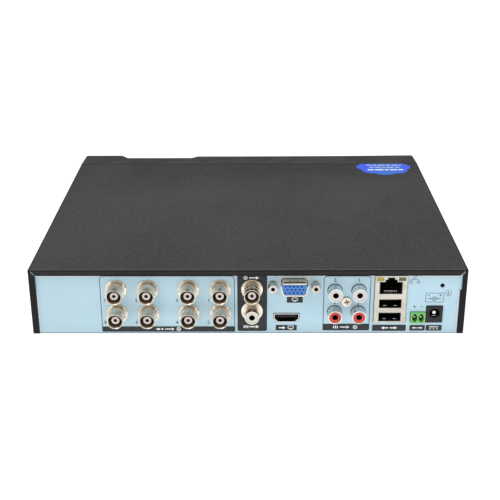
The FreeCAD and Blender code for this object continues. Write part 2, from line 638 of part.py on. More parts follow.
def rubber_foot(name, x, y):
    """A round foot whose barbed stem is pulled up through the tray's floor."""
    foot = Piece(name, x, y)
    foot.revolve("XZ", (0, 0), ("foot_radius - foot_chamfer", 0), ("foot_radius", "foot_chamfer"),
                 ("foot_radius - foot_taper", "base_z"), ("foot_stem_radius", "base_z"),
                 ("foot_stem_radius", "floor_z + foot_play"),
                 ("foot_stem_radius + foot_barb", "floor_z + foot_play"),
                 ("foot_stem_radius - foot_taper", "floor_z + foot_barb_height"),
                 (0, "floor_z + foot_barb_height"))
    return foot


def rubber_feet():
    group("rubber_feet", [rubber_foot(f"foot_{n}", x, y) for n, (x, y) in enumerate(FEET)])


# ---- Moulded front

def bezel_outline(wall, back):
    """The front's outline from above, set in by a wall."""
    face = f"front_y - {wall}"
    floor = f"scoop_y - {wall}"
    return curved([(f"half_width - {wall}", back), (f"half_width - side_draft - {wall}", face),
                   (f"scoop_right + scoop_slope + {wall}/2", f"{face} - front_bow"),
                   (f"scoop_right + {wall}/2", floor), (f"scoop_left - {wall}/2", floor),
                   (f"scoop_left - scoop_slope - {wall}/2", face),
                   (f"-half_width + side_draft + {wall}", face), (f"-half_width + {wall}", back)],
                  {1: "bow_radius"})


def hooks(height, rise="0"):
    """The outlines of the two snap hooks, seen from the front."""
    return [around(f"{s}*hook_x", f"hook_z + {rise}", "hook_width", height) for s in LEFT_RIGHT]


def front_screws(radius):
    return [circle(f"scoop_x + {s}*front_screw_x", "front_screw_z", radius) for s in LEFT_RIGHT]


def window(shrink):
    return around("scoop_x", "window_z", f"window_width - 2*({shrink})", f"window_height - 2*({shrink})")


def front_bezel():
    bezel = Piece("front_bezel")
    bezel.pad("XY", "base_z", "case_height", bezel_outline("0", "bezel_y"))
    front = number("front_y")
    side = number("half_width - corner_radius")
    bezel.soften("Fillet", "corner_radius",
                 lambda e: runs_along(e, "Z") and abs(middle(e).y - front) < TINY and abs(middle(e).x) > side)
    bezel.soften("Fillet", "edge_radius",
                 lambda e: not runs_along(e, "Z") and middle(e).y > number("bezel_y + edge_radius"))
    bezel.pocket("XY", "base_z + bezel_wall", "case_height - 2*bezel_wall",
                 bezel_outline("bezel_wall", "bezel_y - seam_gap"))
    bezel.pad("XZ", "bezel_y - tongue_length", "2*tongue_length",
              rectangle("-tray_half", "floor_z", "tray_half", "tray_top"),
              rectangle("-tray_half + tongue_wall", "floor_z + tongue_wall", "tray_half - tongue_wall",
                        "tray_top - tongue_wall"))
    bezel.pad("XZ", "hook_y", "bezel_y + tongue_length - hook_y", *hooks("tongue_wall"))
    bezel.pad("XZ", "hook_y", "hook_length - hook_play", *hooks("tongue_wall + hook_bite", "hook_bite/2"))
    bezel.pad("XY", "base_z + bezel_wall/2", "hook_z - base_z - bezel_wall/2",
              *[around(f"{s}*hook_x", "bezel_y + tongue_length - hook_web/2", "hook_width", "hook_web")
                for s in LEFT_RIGHT])
    bezel.pad("XZ", "front_board_y", "front_board_gap + bezel_wall/2", *front_screws("front_boss_radius"))
    bezel.pocket("XZ", "front_board_y", "front_board_gap", *front_screws("screw_radius + snug"))
    bezel.pocket("XZ", "scoop_y - 2*bezel_wall", "2*bezel_wall", window("window_ledge"),
                 *[circle(f"scoop_x + {n}*light_pitch", "light_z", "light_radius + snug")
                   for n in (-1, 0, 1)])
    bezel.pocket("XZ", "scoop_y - window_rebate", "window_rebate", window("0"))
    keep(bezel.body, "front_bezel")


def front_window():
    pane = Piece("ir_window")
    pane.pad("XZ", "scoop_y - window_rebate", "window_rebate", window("snug"))
    pane.pad("XZ", "scoop_y - bezel_wall", "bezel_wall - window_rebate/2", window("window_ledge + snug"))
    keep(pane.body, "ir_window")


def light_pipes():
    group("light_pipes", [rod(f"light_pipe_{n + 2}", "Y", f"scoop_x + {n}*light_pitch",
                              "scoop_y - lamp_length", "light_z", "light_radius", "lamp_length")
                          for n in (-1, 0, 1)])


def indicator_board():
    board = Piece("indicator_board")
    board.pad("XZ", "front_board_y - board_thickness", "board_thickness",
              around("scoop_x", "front_board_z + front_board_height/2", "front_board_width",
                     "front_board_height"))
    board.pocket("XZ", "front_board_y - board_thickness", "board_thickness",
                 *front_screws("screw_radius + screw_clearance"))
    keep(board.body, "indicator_board")


def indicator_lights():
    """Three lamps behind the light pipes, and the remote control's receiver behind the window."""
    lamps = [rod(f"indicator_{n + 2}", "Y", f"scoop_x + {n}*light_pitch", "front_board_y", "light_z",
                 "light_radius", "front_board_gap + bezel_wall - lamp_length - lamp_gap")
             for n in (-1, 0, 1)]
    lamps.append(box("remote_receiver", "scoop_x - receiver_width/2", "front_board_y",
                     "window_z - receiver_height/2", "receiver_width", "front_board_gap - receiver_gap",
                     "receiver_height"))
    group("indicator_lights", lamps)


# ---- Rear panel

def rear_label():
    label = Piece("rear_label")
    label.pad("XZ", "label_y", "label_thickness",
              rectangle("-tray_half + label_margin", "base_z + bend_radius", "tray_half - label_margin",
                        "tray_top - label_margin"))
    label.pocket("XZ", "label_y", "label_thickness",
                 *port_holes("tap_radius + hole_gap", "post_radius + hole_gap/2"),
                 circle("block_screw_x", "block_screw_z", "pan_head_radius + hole_gap/2"))
    keep(label.body, "rear_label")


def dish(mouth, barrel, bore):
    """The half section of a jack's dished flange at the panel, from its barrel back to its bore."""
    rim = f"label_y - {mouth} - dish_proud"
    tail = f"housing_y - {mouth}"
    return [(barrel, f"{rim} + dish_recess"), ("dish_radius - dish_rim", f"{rim} + dish_recess"),
            ("dish_radius - dish_rim", rim), ("dish_radius", rim), ("dish_radius", tail), (bore, tail)]


def bayonet_barrel(label, x, z):
    """A ring jack's metal barrel: a slim nose, two lugs for the plug's slots, and a dished flange."""
    bore = "insulator_radius + snug"
    barrel = Piece(label, x, "mouth_y", z)
    barrel.revolve("XY", (bore, "barrel_depth"), ("barrel_bore", "barrel_depth"),
                   ("barrel_bore", "barrel_chamfer"), ("barrel_bore + barrel_chamfer", 0), ("nose_radius", 0),
                   ("nose_radius", "nose_length"), ("barrel_radius", "nose_length"),
                   *dish("mouth_y", "barrel_radius", bore))
    lug = circle("lug_back", 0, "lug_radius")
    barrel.pad("YZ", "-barrel_radius - lug_rise", "lug_rise + lug_root", lug)
    barrel.pad("YZ", "barrel_radius - lug_root", "lug_rise + lug_root", lug)
    keep(barrel.body, label)


def tube(name, x, y, z, inner, outer, length):
    """A round tube that runs from y towards the front."""
    made = Piece(name, x, y, z)
    made.revolve("XY", (inner, 0), (outer, 0), (outer, length), (inner, length))
    return made


def jack_block(label, x, rise, sockets):
    """The moulded block behind a column of ring jacks, bored for their insulators."""
    block = Piece(label)
    block.pad("XZ", "housing_y", "housing_depth",
              rectangle(f"{x} - housing_width/2", "deck_z", f"{x} + housing_width/2",
                        f"{rise} + housing_crown"))
    block.pocket("XZ", "housing_y", "tail_depth", *[circle(x, z, radius) for z, radius in sockets])
    keep(block.body, label)


def ring_jacks():
    bore = "insulator_radius + snug"
    for n, x in enumerate(VIDEO_X, 1):
        jack_block(f"video_jack_housing_{n}", x, "video_high_z", [(z, bore) for z in VIDEO_Z])
    jack_block("output_jack_housing", "output_x", "output_high_z",
               [("output_high_z", bore), ("output_low_z", "phono_radius - phono_wall")])
    names = [f"video_jack_{n}" for n in range(1, 9)] + ["video_out_jack"]
    insulators = []
    contacts = []
    for name, (x, z) in zip(names, RING_JACKS):
        bayonet_barrel(name, x, z)
        insulators.append(tube(name + "_insulator", x, "mouth_y + insulator_recess", z,
                               "contact_radius + snug", "insulator_radius",
                               "jack_tail + tail_depth - insulator_recess"))
        contacts.append(tube(name + "_contact", x, "mouth_y + insulator_recess + snug", z, "contact_bore",
                             "contact_radius", "jack_tail + tail_depth - insulator_recess - snug"))
    group("jack_insulators", insulators)
    group("jack_contacts", contacts)


def phono_insert(name, x, mouth, z, end):
    """The coloured plastic that lines a phono sleeve, from just behind its mouth to the end."""
    return tube(name, x, f"{mouth} + phono_recess", z, "phono_bore", "phono_radius - phono_wall - snug",
                f"{end} - {mouth} - phono_recess")


def audio_sleeve(name, x, z):
    """A phono socket's metal sleeve, with a slimmer tail that passes the panel into the block."""
    inner = "phono_radius - phono_wall"
    shoulder = "label_y - audio_mouth_y"
    tail = "inner_y + phono_seat - audio_mouth_y"
    sleeve = Piece(name, x, "audio_mouth_y", z)
    sleeve.revolve("XY", (inner, 0), ("phono_radius", 0), ("phono_radius", shoulder),
                   ("phono_tail_radius", shoulder), ("phono_tail_radius", tail), (inner, tail))
    return sleeve


def audio_sockets():
    inner = "phono_radius - phono_wall"
    out = Piece("audio_out_sleeve", "output_x", "audio_out_y", "output_low_z")
    out.revolve("XY", (inner, 0), ("phono_radius", 0), *dish("audio_out_y", "phono_radius", inner))
    keep(out.body, "audio_out_sleeve")

    block = Piece("audio_in_housing")
    block.pad("XZ", "inner_y", "audio_block_depth",
              rectangle("audio_x - audio_pitch/2", "deck_z", "audio_right_x + audio_pitch/2",
                        "audio_high_z + audio_block_rim"))
    block.pocket("XZ", "inner_y", "phono_seat",
                 *[circle(x, z, "phono_tail_radius + snug") for x, z in AUDIO])
    block.pocket("XZ", "inner_y", "screw_length",
                 circle("block_screw_x", "block_screw_z", "screw_radius + snug"))
    keep(block.body, "audio_in_housing")

    group("audio_in_sleeves", [audio_sleeve(f"audio_sleeve_{n}", x, z) for n, (x, z) in enumerate(AUDIO)])
    inserts = [phono_insert(f"audio_insert_{n}", x, "audio_mouth_y", z, "inner_y + phono_seat")
               for n, (x, z) in enumerate(AUDIO)]
    lone = phono_insert("audio_out_insert", "output_x", "audio_out_y", "output_low_z",
                        "housing_y + tail_depth")
    group("white_audio_inserts", [lone] + inserts[:2])
    group("red_audio_inserts", inserts[2:])


def monitor_shell():
    depth = "monitor_back_y - monitor_mouth_y"
    middle_y = number("(monitor_back_y + monitor_mouth_y)/2")
    shell = Piece("monitor_socket_shell")
    shell.pad("XZ", "monitor_mouth_y", depth, monitor_outline("0"))
    shell.soften("Fillet", "monitor_corner", lambda e: runs_along(e, "Y"))
    shell.pad("XZ", "inner_y", "monitor_ear_thickness",
              around("monitor_x", "monitor_z", "monitor_ear_width", "monitor_ear_height"))
    shell.pocket("XZ", "inner_y", "monitor_ear_thickness",
                 *[circle(x, "monitor_z", "post_shank + screw_clearance") for x in POSTS])
    shell.pocket("XZ", "monitor_mouth_y", depth, monitor_outline("monitor_wall"))
    inside = [Vector(number(x), middle_y, number(z)) for x, z in monitor_outline("monitor_wall")[1]]
    shell.soften("Fillet", "monitor_corner - monitor_wall",
                 lambda e: runs_along(e, "Y") and min(middle(e).distanceToPoint(p) for p in inside) < TINY)
    keep(shell.body, "monitor_socket_shell")


def monitor_contacts():
    """Three staggered rows of five holes."""
    return [circle(f"monitor_x + ({column} + {shift})*monitor_pin_pitch",
                   f"monitor_z + {row}*monitor_row_pitch", "monitor_pin_radius")
            for row, shift in ((1, -0.25), (0, 0.25), (-1, -0.25)) for column in range(-2, 3)]


def monitor_socket():
    monitor_shell()
    insulator = Piece("monitor_socket_insulator")
    insulator.pad("XZ", "monitor_mouth_y + monitor_recess", "monitor_back_y - monitor_mouth_y",
                  monitor_outline("(monitor_wall + snug)"))
    insulator.soften("Fillet", "monitor_corner - monitor_wall - snug", lambda e: runs_along(e, "Y"))
    insulator.pad("XZ", "monitor_back_y", "monitor_body_depth",
                  around("monitor_x", "monitor_z", "monitor_ear_width", "monitor_ear_height"))
    insulator.pad("XY", "deck_z", "monitor_z - deck_z",
                  *[around(f"monitor_x + {s}*(monitor_ear_width - monitor_leg)/2",
                           "monitor_back_y + monitor_body_depth/2", "monitor_leg", "monitor_body_depth")
                    for s in LEFT_RIGHT])
    insulator.pocket("XZ", "monitor_mouth_y", "monitor_pin_depth", *monitor_contacts())
    insulator.pocket("XZ", "monitor_back_y", "post_tail + snug",
                     *[circle(x, "monitor_z", "post_shank + screw_clearance") for x in POSTS])
    keep(insulator.body, "monitor_socket_insulator")
    group("monitor_socket_jackscrews", [jackscrew(f"post_{n}", x) for n, x in enumerate(POSTS)])


def jackscrew(name, x):
    """A hexagonal post, tapped for the plug's screw, with a shank that holds the socket's ear."""
    post = Piece(name, x, 0, "monitor_z")
    post.pad("XZ", "rear_y - post_length", "wall_y - rear_y + post_length", hexagon("0", "0", "post_radius"))
    post.pad("XZ", "wall_y - post_floor", "post_floor + monitor_back_y - wall_y + post_tail",
             circle(0, 0, "post_shank"))
    post.pocket("XZ", "rear_y - post_length", "post_length - post_floor", circle(0, 0, "post_bore"))
    return post


def digital_socket():
    shell = Piece("digital_socket_shell")
    shell.pad("XZ", "digital_mouth_y", "digital_depth", digital_outline("0"))
    shell.pocket("XZ", "digital_mouth_y", "digital_depth", digital_outline("digital_wall"))
    keep(shell.body, "digital_socket_shell")
    tongue = Piece("digital_socket_tongue")
    tongue.pad("XZ", "digital_mouth_y + digital_depth - digital_plug", "digital_plug",
               digital_outline("(digital_wall + snug)"))
    tongue.pad("XZ", "digital_mouth_y + digital_recess", "digital_depth - 2*digital_recess",
               around("digital_x", "digital_z + digital_tongue_rise", "digital_tongue_width",
                      "digital_tongue"))
    keep(tongue.body, "digital_socket_tongue")


def network_opening(width):
    """The network socket's opening with the two steps that its plug's latch needs."""
    left, right = (f"lan_x {sign} {width}/2" for sign in "-+")
    notch_left, notch_right = (f"lan_x {sign} notch_width/2" for sign in "-+")
    latch_left, latch_right = (f"lan_x {sign} latch_width/2" for sign in "-+")
    notch_top = "network_top + notch_height"
    latch_top = "network_top + notch_height + latch_height"
    return polygon((left, "network_z"), (right, "network_z"), (right, "network_top"),
                   (notch_right, "network_top"), (notch_right, notch_top), (latch_right, notch_top),
                   (latch_right, latch_top), (latch_left, latch_top), (latch_left, notch_top),
                   (notch_left, notch_top), (notch_left, "network_top"), (left, "network_top"))


def network_lamps(gap):
    return [around(f"lan_x + {s}*network_light_offset", "light_low_z + network_light_height/2",
                   f"network_light_width + {gap}", f"network_light_height + {gap}") for s in LEFT_RIGHT]


BUS_Z = [f"deck_z + bus_low + {n}*bus_pitch + bus_height/2" for n in (0, 1)]


def lan_shield():
    shield = Piece("network_socket_shield")
    shield.pad("XZ", "lan_y", "lan_depth", board_side("lan_x", "lan_width", "lan_height"))
    shield.pocket("XZ", "lan_face_y", "lan_depth",
                  rectangle("lan_x - lan_width/2 + lan_skin", "floor_z", "lan_x + lan_width/2 - lan_skin",
                            "lan_top_z - lan_skin"))
    shield.pocket("XZ", "lan_y", "lan_skin", network_opening("network_width"), *network_lamps("2*snug"),
                  *[around("lan_x", z, "bus_width", "bus_height") for z in BUS_Z])
    keep(shield.body, "network_socket_shield")


def network_wire(n):
    """One of the eight sprung contacts that rise towards the back of the cavity."""
    wire = Piece(f"network_wire_{n}", f"lan_x + ({n} - 3.5)*wire_pitch - wire_width/2", "lan_face_y",
                 "network_z")
    wire.pad("YZ", "0", "wire_width",
             polygon(("wire_recess", "0"), ("network_depth", "wire_rise"),
                     ("network_depth", "wire_rise + wire_thickness"), ("wire_recess", "wire_thickness")))
    return wire


def network_and_bus():
    lan_shield()
    depth = "lan_depth - lan_skin - lan_end"
    width = "lan_width - 2*(lan_skin + snug)"
    low = "deck_z + 2*bus_pitch + snug"
    high = "lan_top_z - lan_skin - snug"
    block = Piece("network_socket_insert")
    block.pad("XZ", "lan_face_y", depth, around("lan_x", f"({low} + {high})/2", width, f"{high} - ({low})"))
    block.pocket("XZ", "lan_face_y", "network_depth", network_opening("network_cavity"))
    block.pocket("XZ", "lan_face_y", "network_light_length", *network_lamps("2*snug"))
    keep(block.body, "network_socket_insert")
    group("network_lights", [box(f"network_lamp_{s + 1}",
                                 f"lan_x + {s}*network_light_offset - network_light_width/2", "lan_y",
                                 "light_low_z", "network_light_width", "network_light_length + lan_skin",
                                 "network_light_height") for s in LEFT_RIGHT])
    group("network_contacts", [network_wire(n) for n in range(8)])

    data = Piece("data_socket_insert")
    data.pad("XZ", "lan_face_y", depth, around("lan_x", "deck_z + bus_pitch", width, "2*bus_pitch"))
    for z in BUS_Z:
        tongue_z = f"{z} + bus_height/2 - bus_tongue_drop - bus_tongue/2"
        data.pocket("XZ", "lan_face_y", "bus_depth",
                    around("lan_x", z, "bus_width - bus_wall", "bus_height - bus_wall"),
                    around("lan_x", tongue_z, "bus_tongue_width", "bus_tongue"))
        data.pocket("XZ", "lan_face_y", "bus_depth - bus_tongue_length",
                    around("lan_x", tongue_z, "bus_tongue_width + bus_tongue_play",
                           "bus_tongue + bus_tongue_play"))
    keep(data.body, "data_socket_insert")


def keyed_cell(x):
    """A terminal's cell: a square hole with a narrower slot above and below for the plug's ribs."""
    wide, slot = "terminal_cell/2", "terminal_key/2"
    low, high = "terminal_cell_height/2", "terminal_key_height/2"
    corners = [(wide, low), (slot, low), (slot, high)]
    upper = corners + [(f"-{a}", b) for a, b in reversed(corners)]
    return polygon(*[(f"{x} + {a}", f"terminal_z + {b}") for a, b in upper],
                   *[(f"{x} + {a}", f"terminal_z - {b}") for a, b in reversed(upper)])


def terminal():
    cells = [f"terminal_x + {s}*terminal_pitch/2" for s in LEFT_RIGHT]
    header = Piece("terminal_header")
    header.pad("XZ", "terminal_y", "terminal_depth",
               board_side("terminal_x", "terminal_width", "terminal_height"))
    header.pocket("XZ", "terminal_y", "terminal_cell_depth", *[keyed_cell(x) for x in cells])
    header.pocket("XZ", "terminal_y", "terminal_depth - terminal_end",
                  *[around(x, "terminal_z", "terminal_pin + 2*snug", "terminal_pin + 2*snug")
                    for x in cells])
    keep(header.body, "terminal_header")
    group("terminal_pins", [box(f"terminal_pin_{n}", f"{x} - terminal_pin/2", "terminal_y + terminal_recess",
                                "terminal_z - terminal_pin/2", "terminal_pin",
                                "terminal_depth - terminal_recess - terminal_end", "terminal_pin")
                            for n, x in enumerate(cells)])


def power_socket():
    jack = Piece("power_jack")
    jack.pad("XZ", "power_y", "power_depth", board_side("power_x", "power_width", "power_height"))
    jack.pocket("XZ", "power_y", "power_bore_depth", circle("power_x", "power_z", "power_bore"))
    jack.pocket("XZ", "power_y", "power_bore_depth + power_root",
                circle("power_x", "power_z", "power_pin + snug"),
                around("power_x", "spring_z + spring_thickness/2", "spring_width + 2*snug",
                       "spring_thickness + 2*snug"))
    keep(jack.body, "power_jack")
    group("power_jack_contacts",
          [rod("power_pin_rod", "Y", "power_x", "power_y + power_pin_recess", "power_z", "power_pin",
               "power_bore_depth + power_root - power_pin_recess"),
           box("power_spring", "power_x - spring_width/2", "power_y + power_root", "spring_z",
               "spring_width", "power_bore_depth", "spring_thickness")])


# ---- Main board

def pan_screw(name, axis, x, y, z, length="screw_length"):
    """A pan-head screw whose head starts at x, y, z, below a Z screw's shank and before a Y screw's."""
    head = rod(name + "_head", axis, x, y, z, "pan_head_radius", "pan_head_height")
    if axis == "Y":
        y = f"{y} + pan_head_height - snug"
    else:
        z = f"{z} + pan_head_height - snug"
    return fuse(name, head, rod(name + "_shank", axis, x, y, z, "screw_radius", f"{length} + snug"))


def board_screw(name, x, y):
    """A pan-head screw that goes down through the board into its post."""
    head = rod(name + "_head", "Z", x, y, "deck_z", "pan_head_radius", "pan_head_height")
    return fuse(name, head, rod(name + "_shank", "Z", x, y, "deck_z - screw_length", "screw_radius",
                                "screw_length + snug"))


def standoff(name, x, y):
    """A round post that stands on the tray's floor and carries the board."""
    post = Piece(name, x, y, "floor_z")
    post.revolve("XZ", ("screw_radius + snug", 0), ("standoff_radius", 0),
                 ("standoff_radius", "standoff_height"), ("screw_radius + snug", "standoff_height"))
    return post


def main_board():
    board = Piece("mainboard")
    board.pad("XY", "board_z", "board_thickness",
              rectangle("board_left", "board_y", "board_right", "board_front"))
    board.pocket("XY", "board_z", "board_thickness",
                 *[circle(x, y, "screw_radius + screw_clearance") for x, y in BOARD_HOLES])
    keep(board.body, "mainboard")
    group("board_standoffs", [standoff(f"standoff_{n}", x, y) for n, (x, y) in enumerate(BOARD_HOLES)])
    screws = [board_screw(f"board_screw_{n}", x, y) for n, (x, y) in enumerate(BOARD_HOLES)]
    screws.append(pan_screw("block_screw", "Y", "block_screw_x", "wall_y - pan_head_height", "block_screw_z"))
    screws += [pan_screw(f"front_screw_{s + 1}", "Y", f"scoop_x + {s}*front_screw_x",
                         "front_board_y - board_thickness - pan_head_height", "front_screw_z")
               for s in LEFT_RIGHT]
    group("pan_screws", screws)


def on_board(name, from_right, y, width, depth, height):
    """A block on the main board about its middle."""
    x = f"board_right - {from_right} - {width}/2"
    return box(name, x, f"{y} - {depth}/2", "deck_z", width, depth, height)


def board_parts():
    chips = [on_board("processor", "processor_from_right", "board_front - processor_front",
                      "processor_width", "processor_width", "processor_height"),
             on_board("network_chip", "network_chip_from_right", "board_y + network_chip_y",
                      "network_chip_width", "network_chip_width", "network_chip_height"),
             on_board("network_coil", "network_coil_from_right", "board_y + network_coil_y",
                      "network_coil_width", "network_coil_depth", "network_coil_height")]
    for n in (0, 1):
        chips += [on_board(f"memory_{n}", "memory_from_right",
                           f"board_front - memory_front + {n}*memory_pitch", "memory_width",
                           "memory_depth", "memory_height"),
                  on_board(f"video_decoder_{n}", f"(decoder_from_right - {n}*decoder_pitch)",
                           "board_y + decoder_y", "decoder_width", "decoder_width", "decoder_height"),
                  on_board(f"power_coil_{n}", "power_coil_from_right",
                           f"board_front - power_coil_front + {n}*power_coil_pitch", "power_coil_width",
                           "power_coil_width", "power_coil_height")]
    chips += [rod(f"capacitor_{n}", "Z", "board_right - capacitor_from_right",
                  f"board_front - capacitor_front + {n}*capacitor_pitch", "deck_z", "capacitor_radius",
                  "capacitor_height") for n in range(3)]
    group("board_components", chips)

    keep(rod("coin_cell", "Z", "board_right - cell_from_right", "board_front - cell_front", "deck_z",
             "cell_radius", "cell_height"), "coin_cell")
    keep(rod("buzzer", "Z", "board_right - buzzer_from_right", "board_front - buzzer_front", "deck_z",
             "buzzer_radius", "buzzer_height"), "buzzer")


def heat_sink():
    sink = Piece("heat_sink", "board_right - processor_from_right", "board_front - processor_front",
                 "deck_z + processor_height")
    sink.pad("XY", "0", "sink_base", around("0", "0", "sink_width", "sink_width"))
    fin = sink.pad("XY", "sink_base", "fin_height",
                   around("-fin_pitch*(fin_count - 1)/2", "0", "fin_thickness", "sink_width"))
    sink.repeat(fin, "H_Axis", "fin_pitch", "fin_count")
    keep(sink.body, "heat_sink")


def drive_socket(n):
    """An open-topped box header for one of the drive's leads."""
    socket = Piece(f"drive_socket_{n}", f"board_right - socket_from_right + {n}*socket_pitch",
                   "board_front - socket_front - socket_depth/2", "deck_z")
    socket.pad("XY", "0", "socket_height", around("0", "0", "socket_width", "socket_depth"))
    socket.pocket("XY", "socket_floor", "socket_height",
                  around("0", "0", "socket_width - 2*socket_wall", "socket_depth - 2*socket_wall"))
    return socket


def drive_sockets():
    group("drive_sockets", [drive_socket(n) for n in (0, 1)])


# ---- Hard disk drive, in its own frame about the middle of its underside

LID_SCREWS = [(f"{a}*lid_screw_x", f"{b}*lid_screw_y") for a in LEFT_RIGHT for b in LEFT_RIGHT]


def drive_piece(label, x="0", y="0", turn=None):
    return Piece(label, f"drive_x + {x}", f"drive_y + {y}", "drive_z", turn)


def drive_base():
    """The die-cast base: a bay with round corners for the disks, and a shallow one below for the circuit."""
    base = drive_piece("drive_base")
    base.pad("XY", "0", "drive_top", rectangle("-drive_half", "-drive_side", "drive_half", "drive_side"))
    base.soften("Fillet", "drive_corner", lambda e: runs_along(e, "Z"))
    base.pocket("XY", "deck_height", "drive_height",
                around("0", "0", "drive_length - 2*drive_wall", "drive_width - 2*drive_side_wall"))
    deck = number("deck_height")
    inside = number("drive_half - drive_corner/2")
    base.soften("Fillet", "bay_corner", lambda e: runs_along(e, "Z") and middle(e).z > deck
                and abs(middle(e).x) < inside and abs(middle(e).y) < number("drive_side - drive_side_wall/2"))
    base.pocket("XY", "0", "drive_recess",
                rectangle("-drive_half", "-drive_side + rail_width", "drive_half - drive_end_rail",
                          "drive_side - rail_width"))
    base.pad("XY", "deck_height - deck_root", "hub_top - spindle_gap - deck_height + deck_root",
             circle("spindle_x", "0", "spindle_radius"))
    base.pad("XY", "deck_height - deck_root", "arm_top - pivot_gap - deck_height + deck_root",
             circle("pivot_x", "pivot_y", "pivot_radius"))
    base.pocket("XY", "0", "rail_hole_depth", *[circle(x, y, "rail_hole_radius") for x, y in RAIL_HOLES])
    base.pocket("XY", "drive_top - lid_screw_length", "lid_screw_length",
                *[circle(x, y, "lid_screw_radius + snug") for x, y in LID_SCREWS])
    keep(base.body, "drive_base")


def drive_cover():
    lid = drive_piece("drive_cover")
    lid.pad("XY", "drive_top", "drive_cover_thickness",
            around("0", "0", "drive_length - 2*lid_margin", "drive_width - 2*lid_margin"))
    lid.soften("Fillet", "drive_corner", lambda e: runs_along(e, "Z"))
    lid.pocket("XY", "drive_top", "drive_cover_thickness",
               *[circle(x, y, "lid_screw_radius + screw_clearance") for x, y in LID_SCREWS])
    keep(lid.body, "drive_cover")


def drive_board():
    """The drive's circuit in the underside's recess, with its two chips and the plug at its end."""
    inset = "rail_width + circuit_gap"
    circuit = drive_piece("drive_board")
    circuit.pad("XY", "drive_recess - circuit_thickness", "circuit_thickness",
                rectangle("-drive_half + circuit_inset", f"-drive_side + {inset}", "circuit_end",
                          f"drive_side - ({inset})"))
    circuit.pad("XY", "drive_recess - circuit_thickness - drive_chip_height", "drive_chip_height",
                around("drive_chip_x", "drive_chip_y", "drive_chip", "drive_chip"),
                around("drive_chip_x/2", "-drive_chip", "drive_chip*2/3", "drive_chip/2"))
    circuit.pad("XY", "drive_plug_rise", "drive_recess - drive_plug_rise",
                around("-drive_half + drive_plug_inset", "drive_plug_y", "drive_plug_depth",
                       "drive_plug_width"))
    keep(circuit.body, "drive_board")


def drive_disks():
    """Two disks, the hub between them and the clamp above, as one turned piece on the spindle."""
    bore = "spindle_radius + running_gap"
    disks = drive_piece("drive_disks", "spindle_x")
    disks.revolve("XZ", (0, "hub_top"), (bore, "hub_top"), (bore, "hub_z"), ("hub_radius", "hub_z"),
                  ("hub_radius", "disk_z"), ("disk_radius", "disk_z"),
                  ("disk_radius", "disk_z + disk_thickness"), ("hub_radius", "disk_z + disk_thickness"),
                  ("hub_radius", "disk_z + disk_pitch"), ("disk_radius", "disk_z + disk_pitch"),
                  ("disk_radius", "disk_top"), ("clamp_radius", "disk_top"),
                  ("clamp_radius", "disk_top + clamp_thickness"), (0, "disk_top + clamp_thickness"))
    keep(disks.body, "drive_disks")


def drive_arm():
    """The head arm, parked off the disks: three tapered fingers, a hub, and the coil's open frame."""
    arm = drive_piece("drive_arm", "pivot_x", "pivot_y", "arm_park_angle")
    arm.pad("XY", "arm_bottom", "arm_top - arm_bottom", circle("0", "0", "arm_hub_radius"))
    for n in range(3):
        arm.pad("XY", f"arm_low + {n}*disk_pitch", "arm_thickness",
                polygon(("0", "-arm_root/2"), ("arm_length", "-arm_tip/2"), ("arm_length", "arm_tip/2"),
                        ("0", "arm_root/2")))
    arm.pad("XY", "coil_z", "coil_thickness",
            polygon(("-coil_reach", "-coil_half_far"), ("0", "-coil_half_near"), ("0", "coil_half_near"),
                    ("-coil_reach", "coil_half_far")))
    far = "-coil_reach + coil_band"
    arm.pocket("XY", "coil_z", "coil_thickness",
               polygon((far, "-coil_half_far + coil_band"), ("-coil_near", "-coil_half_near + coil_band/2"),
                       ("-coil_near", "coil_half_near - coil_band/2"), (far, "coil_half_far - coil_band")))
    arm.pocket("XY", "arm_bottom", "arm_top - arm_bottom", circle("0", "0", "pivot_radius + running_gap"))
    keep(arm.body, "drive_arm")


def lid_screw(name, x, y):
    top = "drive_z + drive_height"
    head = rod(name + "_head", "Z", x, y, top, "lid_head_radius", "lid_head_height")
    shank = rod(name + "_shank", "Z", x, y, f"{top} - lid_screw_length", "lid_screw_radius",
                "lid_screw_length + snug")
    return fuse(name, head, shank)


def drive_screws():
    """Four pan-head screws from under the tray into the drive's rails, and four in the drive's lid."""
    rails = [pan_screw(f"rail_screw_{n}", "Z", f"drive_x + {x}", f"drive_y + {y}",
                       "drive_z - steel - pan_head_height", "screw_length + steel")
             for n, (x, y) in enumerate(RAIL_HOLES)]
    lids = [lid_screw(f"lid_screw_{n}", f"drive_x + {x}", f"drive_y + {y}")
            for n, (x, y) in enumerate(LID_SCREWS)]
    group("drive_screws", rails + lids)


for build in (base_tray, top_cover, cover_screws, rubber_feet, front_bezel, front_window, light_pipes,
              indicator_board, indicator_lights, rear_label, ring_jacks, audio_sockets, monitor_socket,
              digital_socket, network_and_bus, terminal, power_socket, main_board, board_parts, heat_sink,
              drive_sockets, drive_base, drive_cover, drive_board, drive_disks, drive_arm, drive_screws):
    build()
doc.recompute()

faulty = [f"{thing.Label}: {', '.join(thing.State)}" for thing in doc.Objects
          if {"Invalid", "Error"} & set(thing.State)]
faulty += [f"{node.Label}: shape" for node in nodes if node.Shape.isNull() or not node.Shape.isValid()]
if faulty:
    raise RuntimeError("; ".join(faulty))

os.makedirs("parts", exist_ok=True)
for node in nodes:
    node.Shape.exportStep(f"parts/{node.Label}.step")
print(f"{len(nodes)} parts")
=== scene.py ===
"""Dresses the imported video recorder: finishes, prints, sticker, small trim, the light and the camera.

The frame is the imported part's own: metres, -Y out of the rear panel, +Y out of the moulded front, +Z up.
"""

import json
import math

import bmesh
import bpy
from mathutils import Matrix, Vector


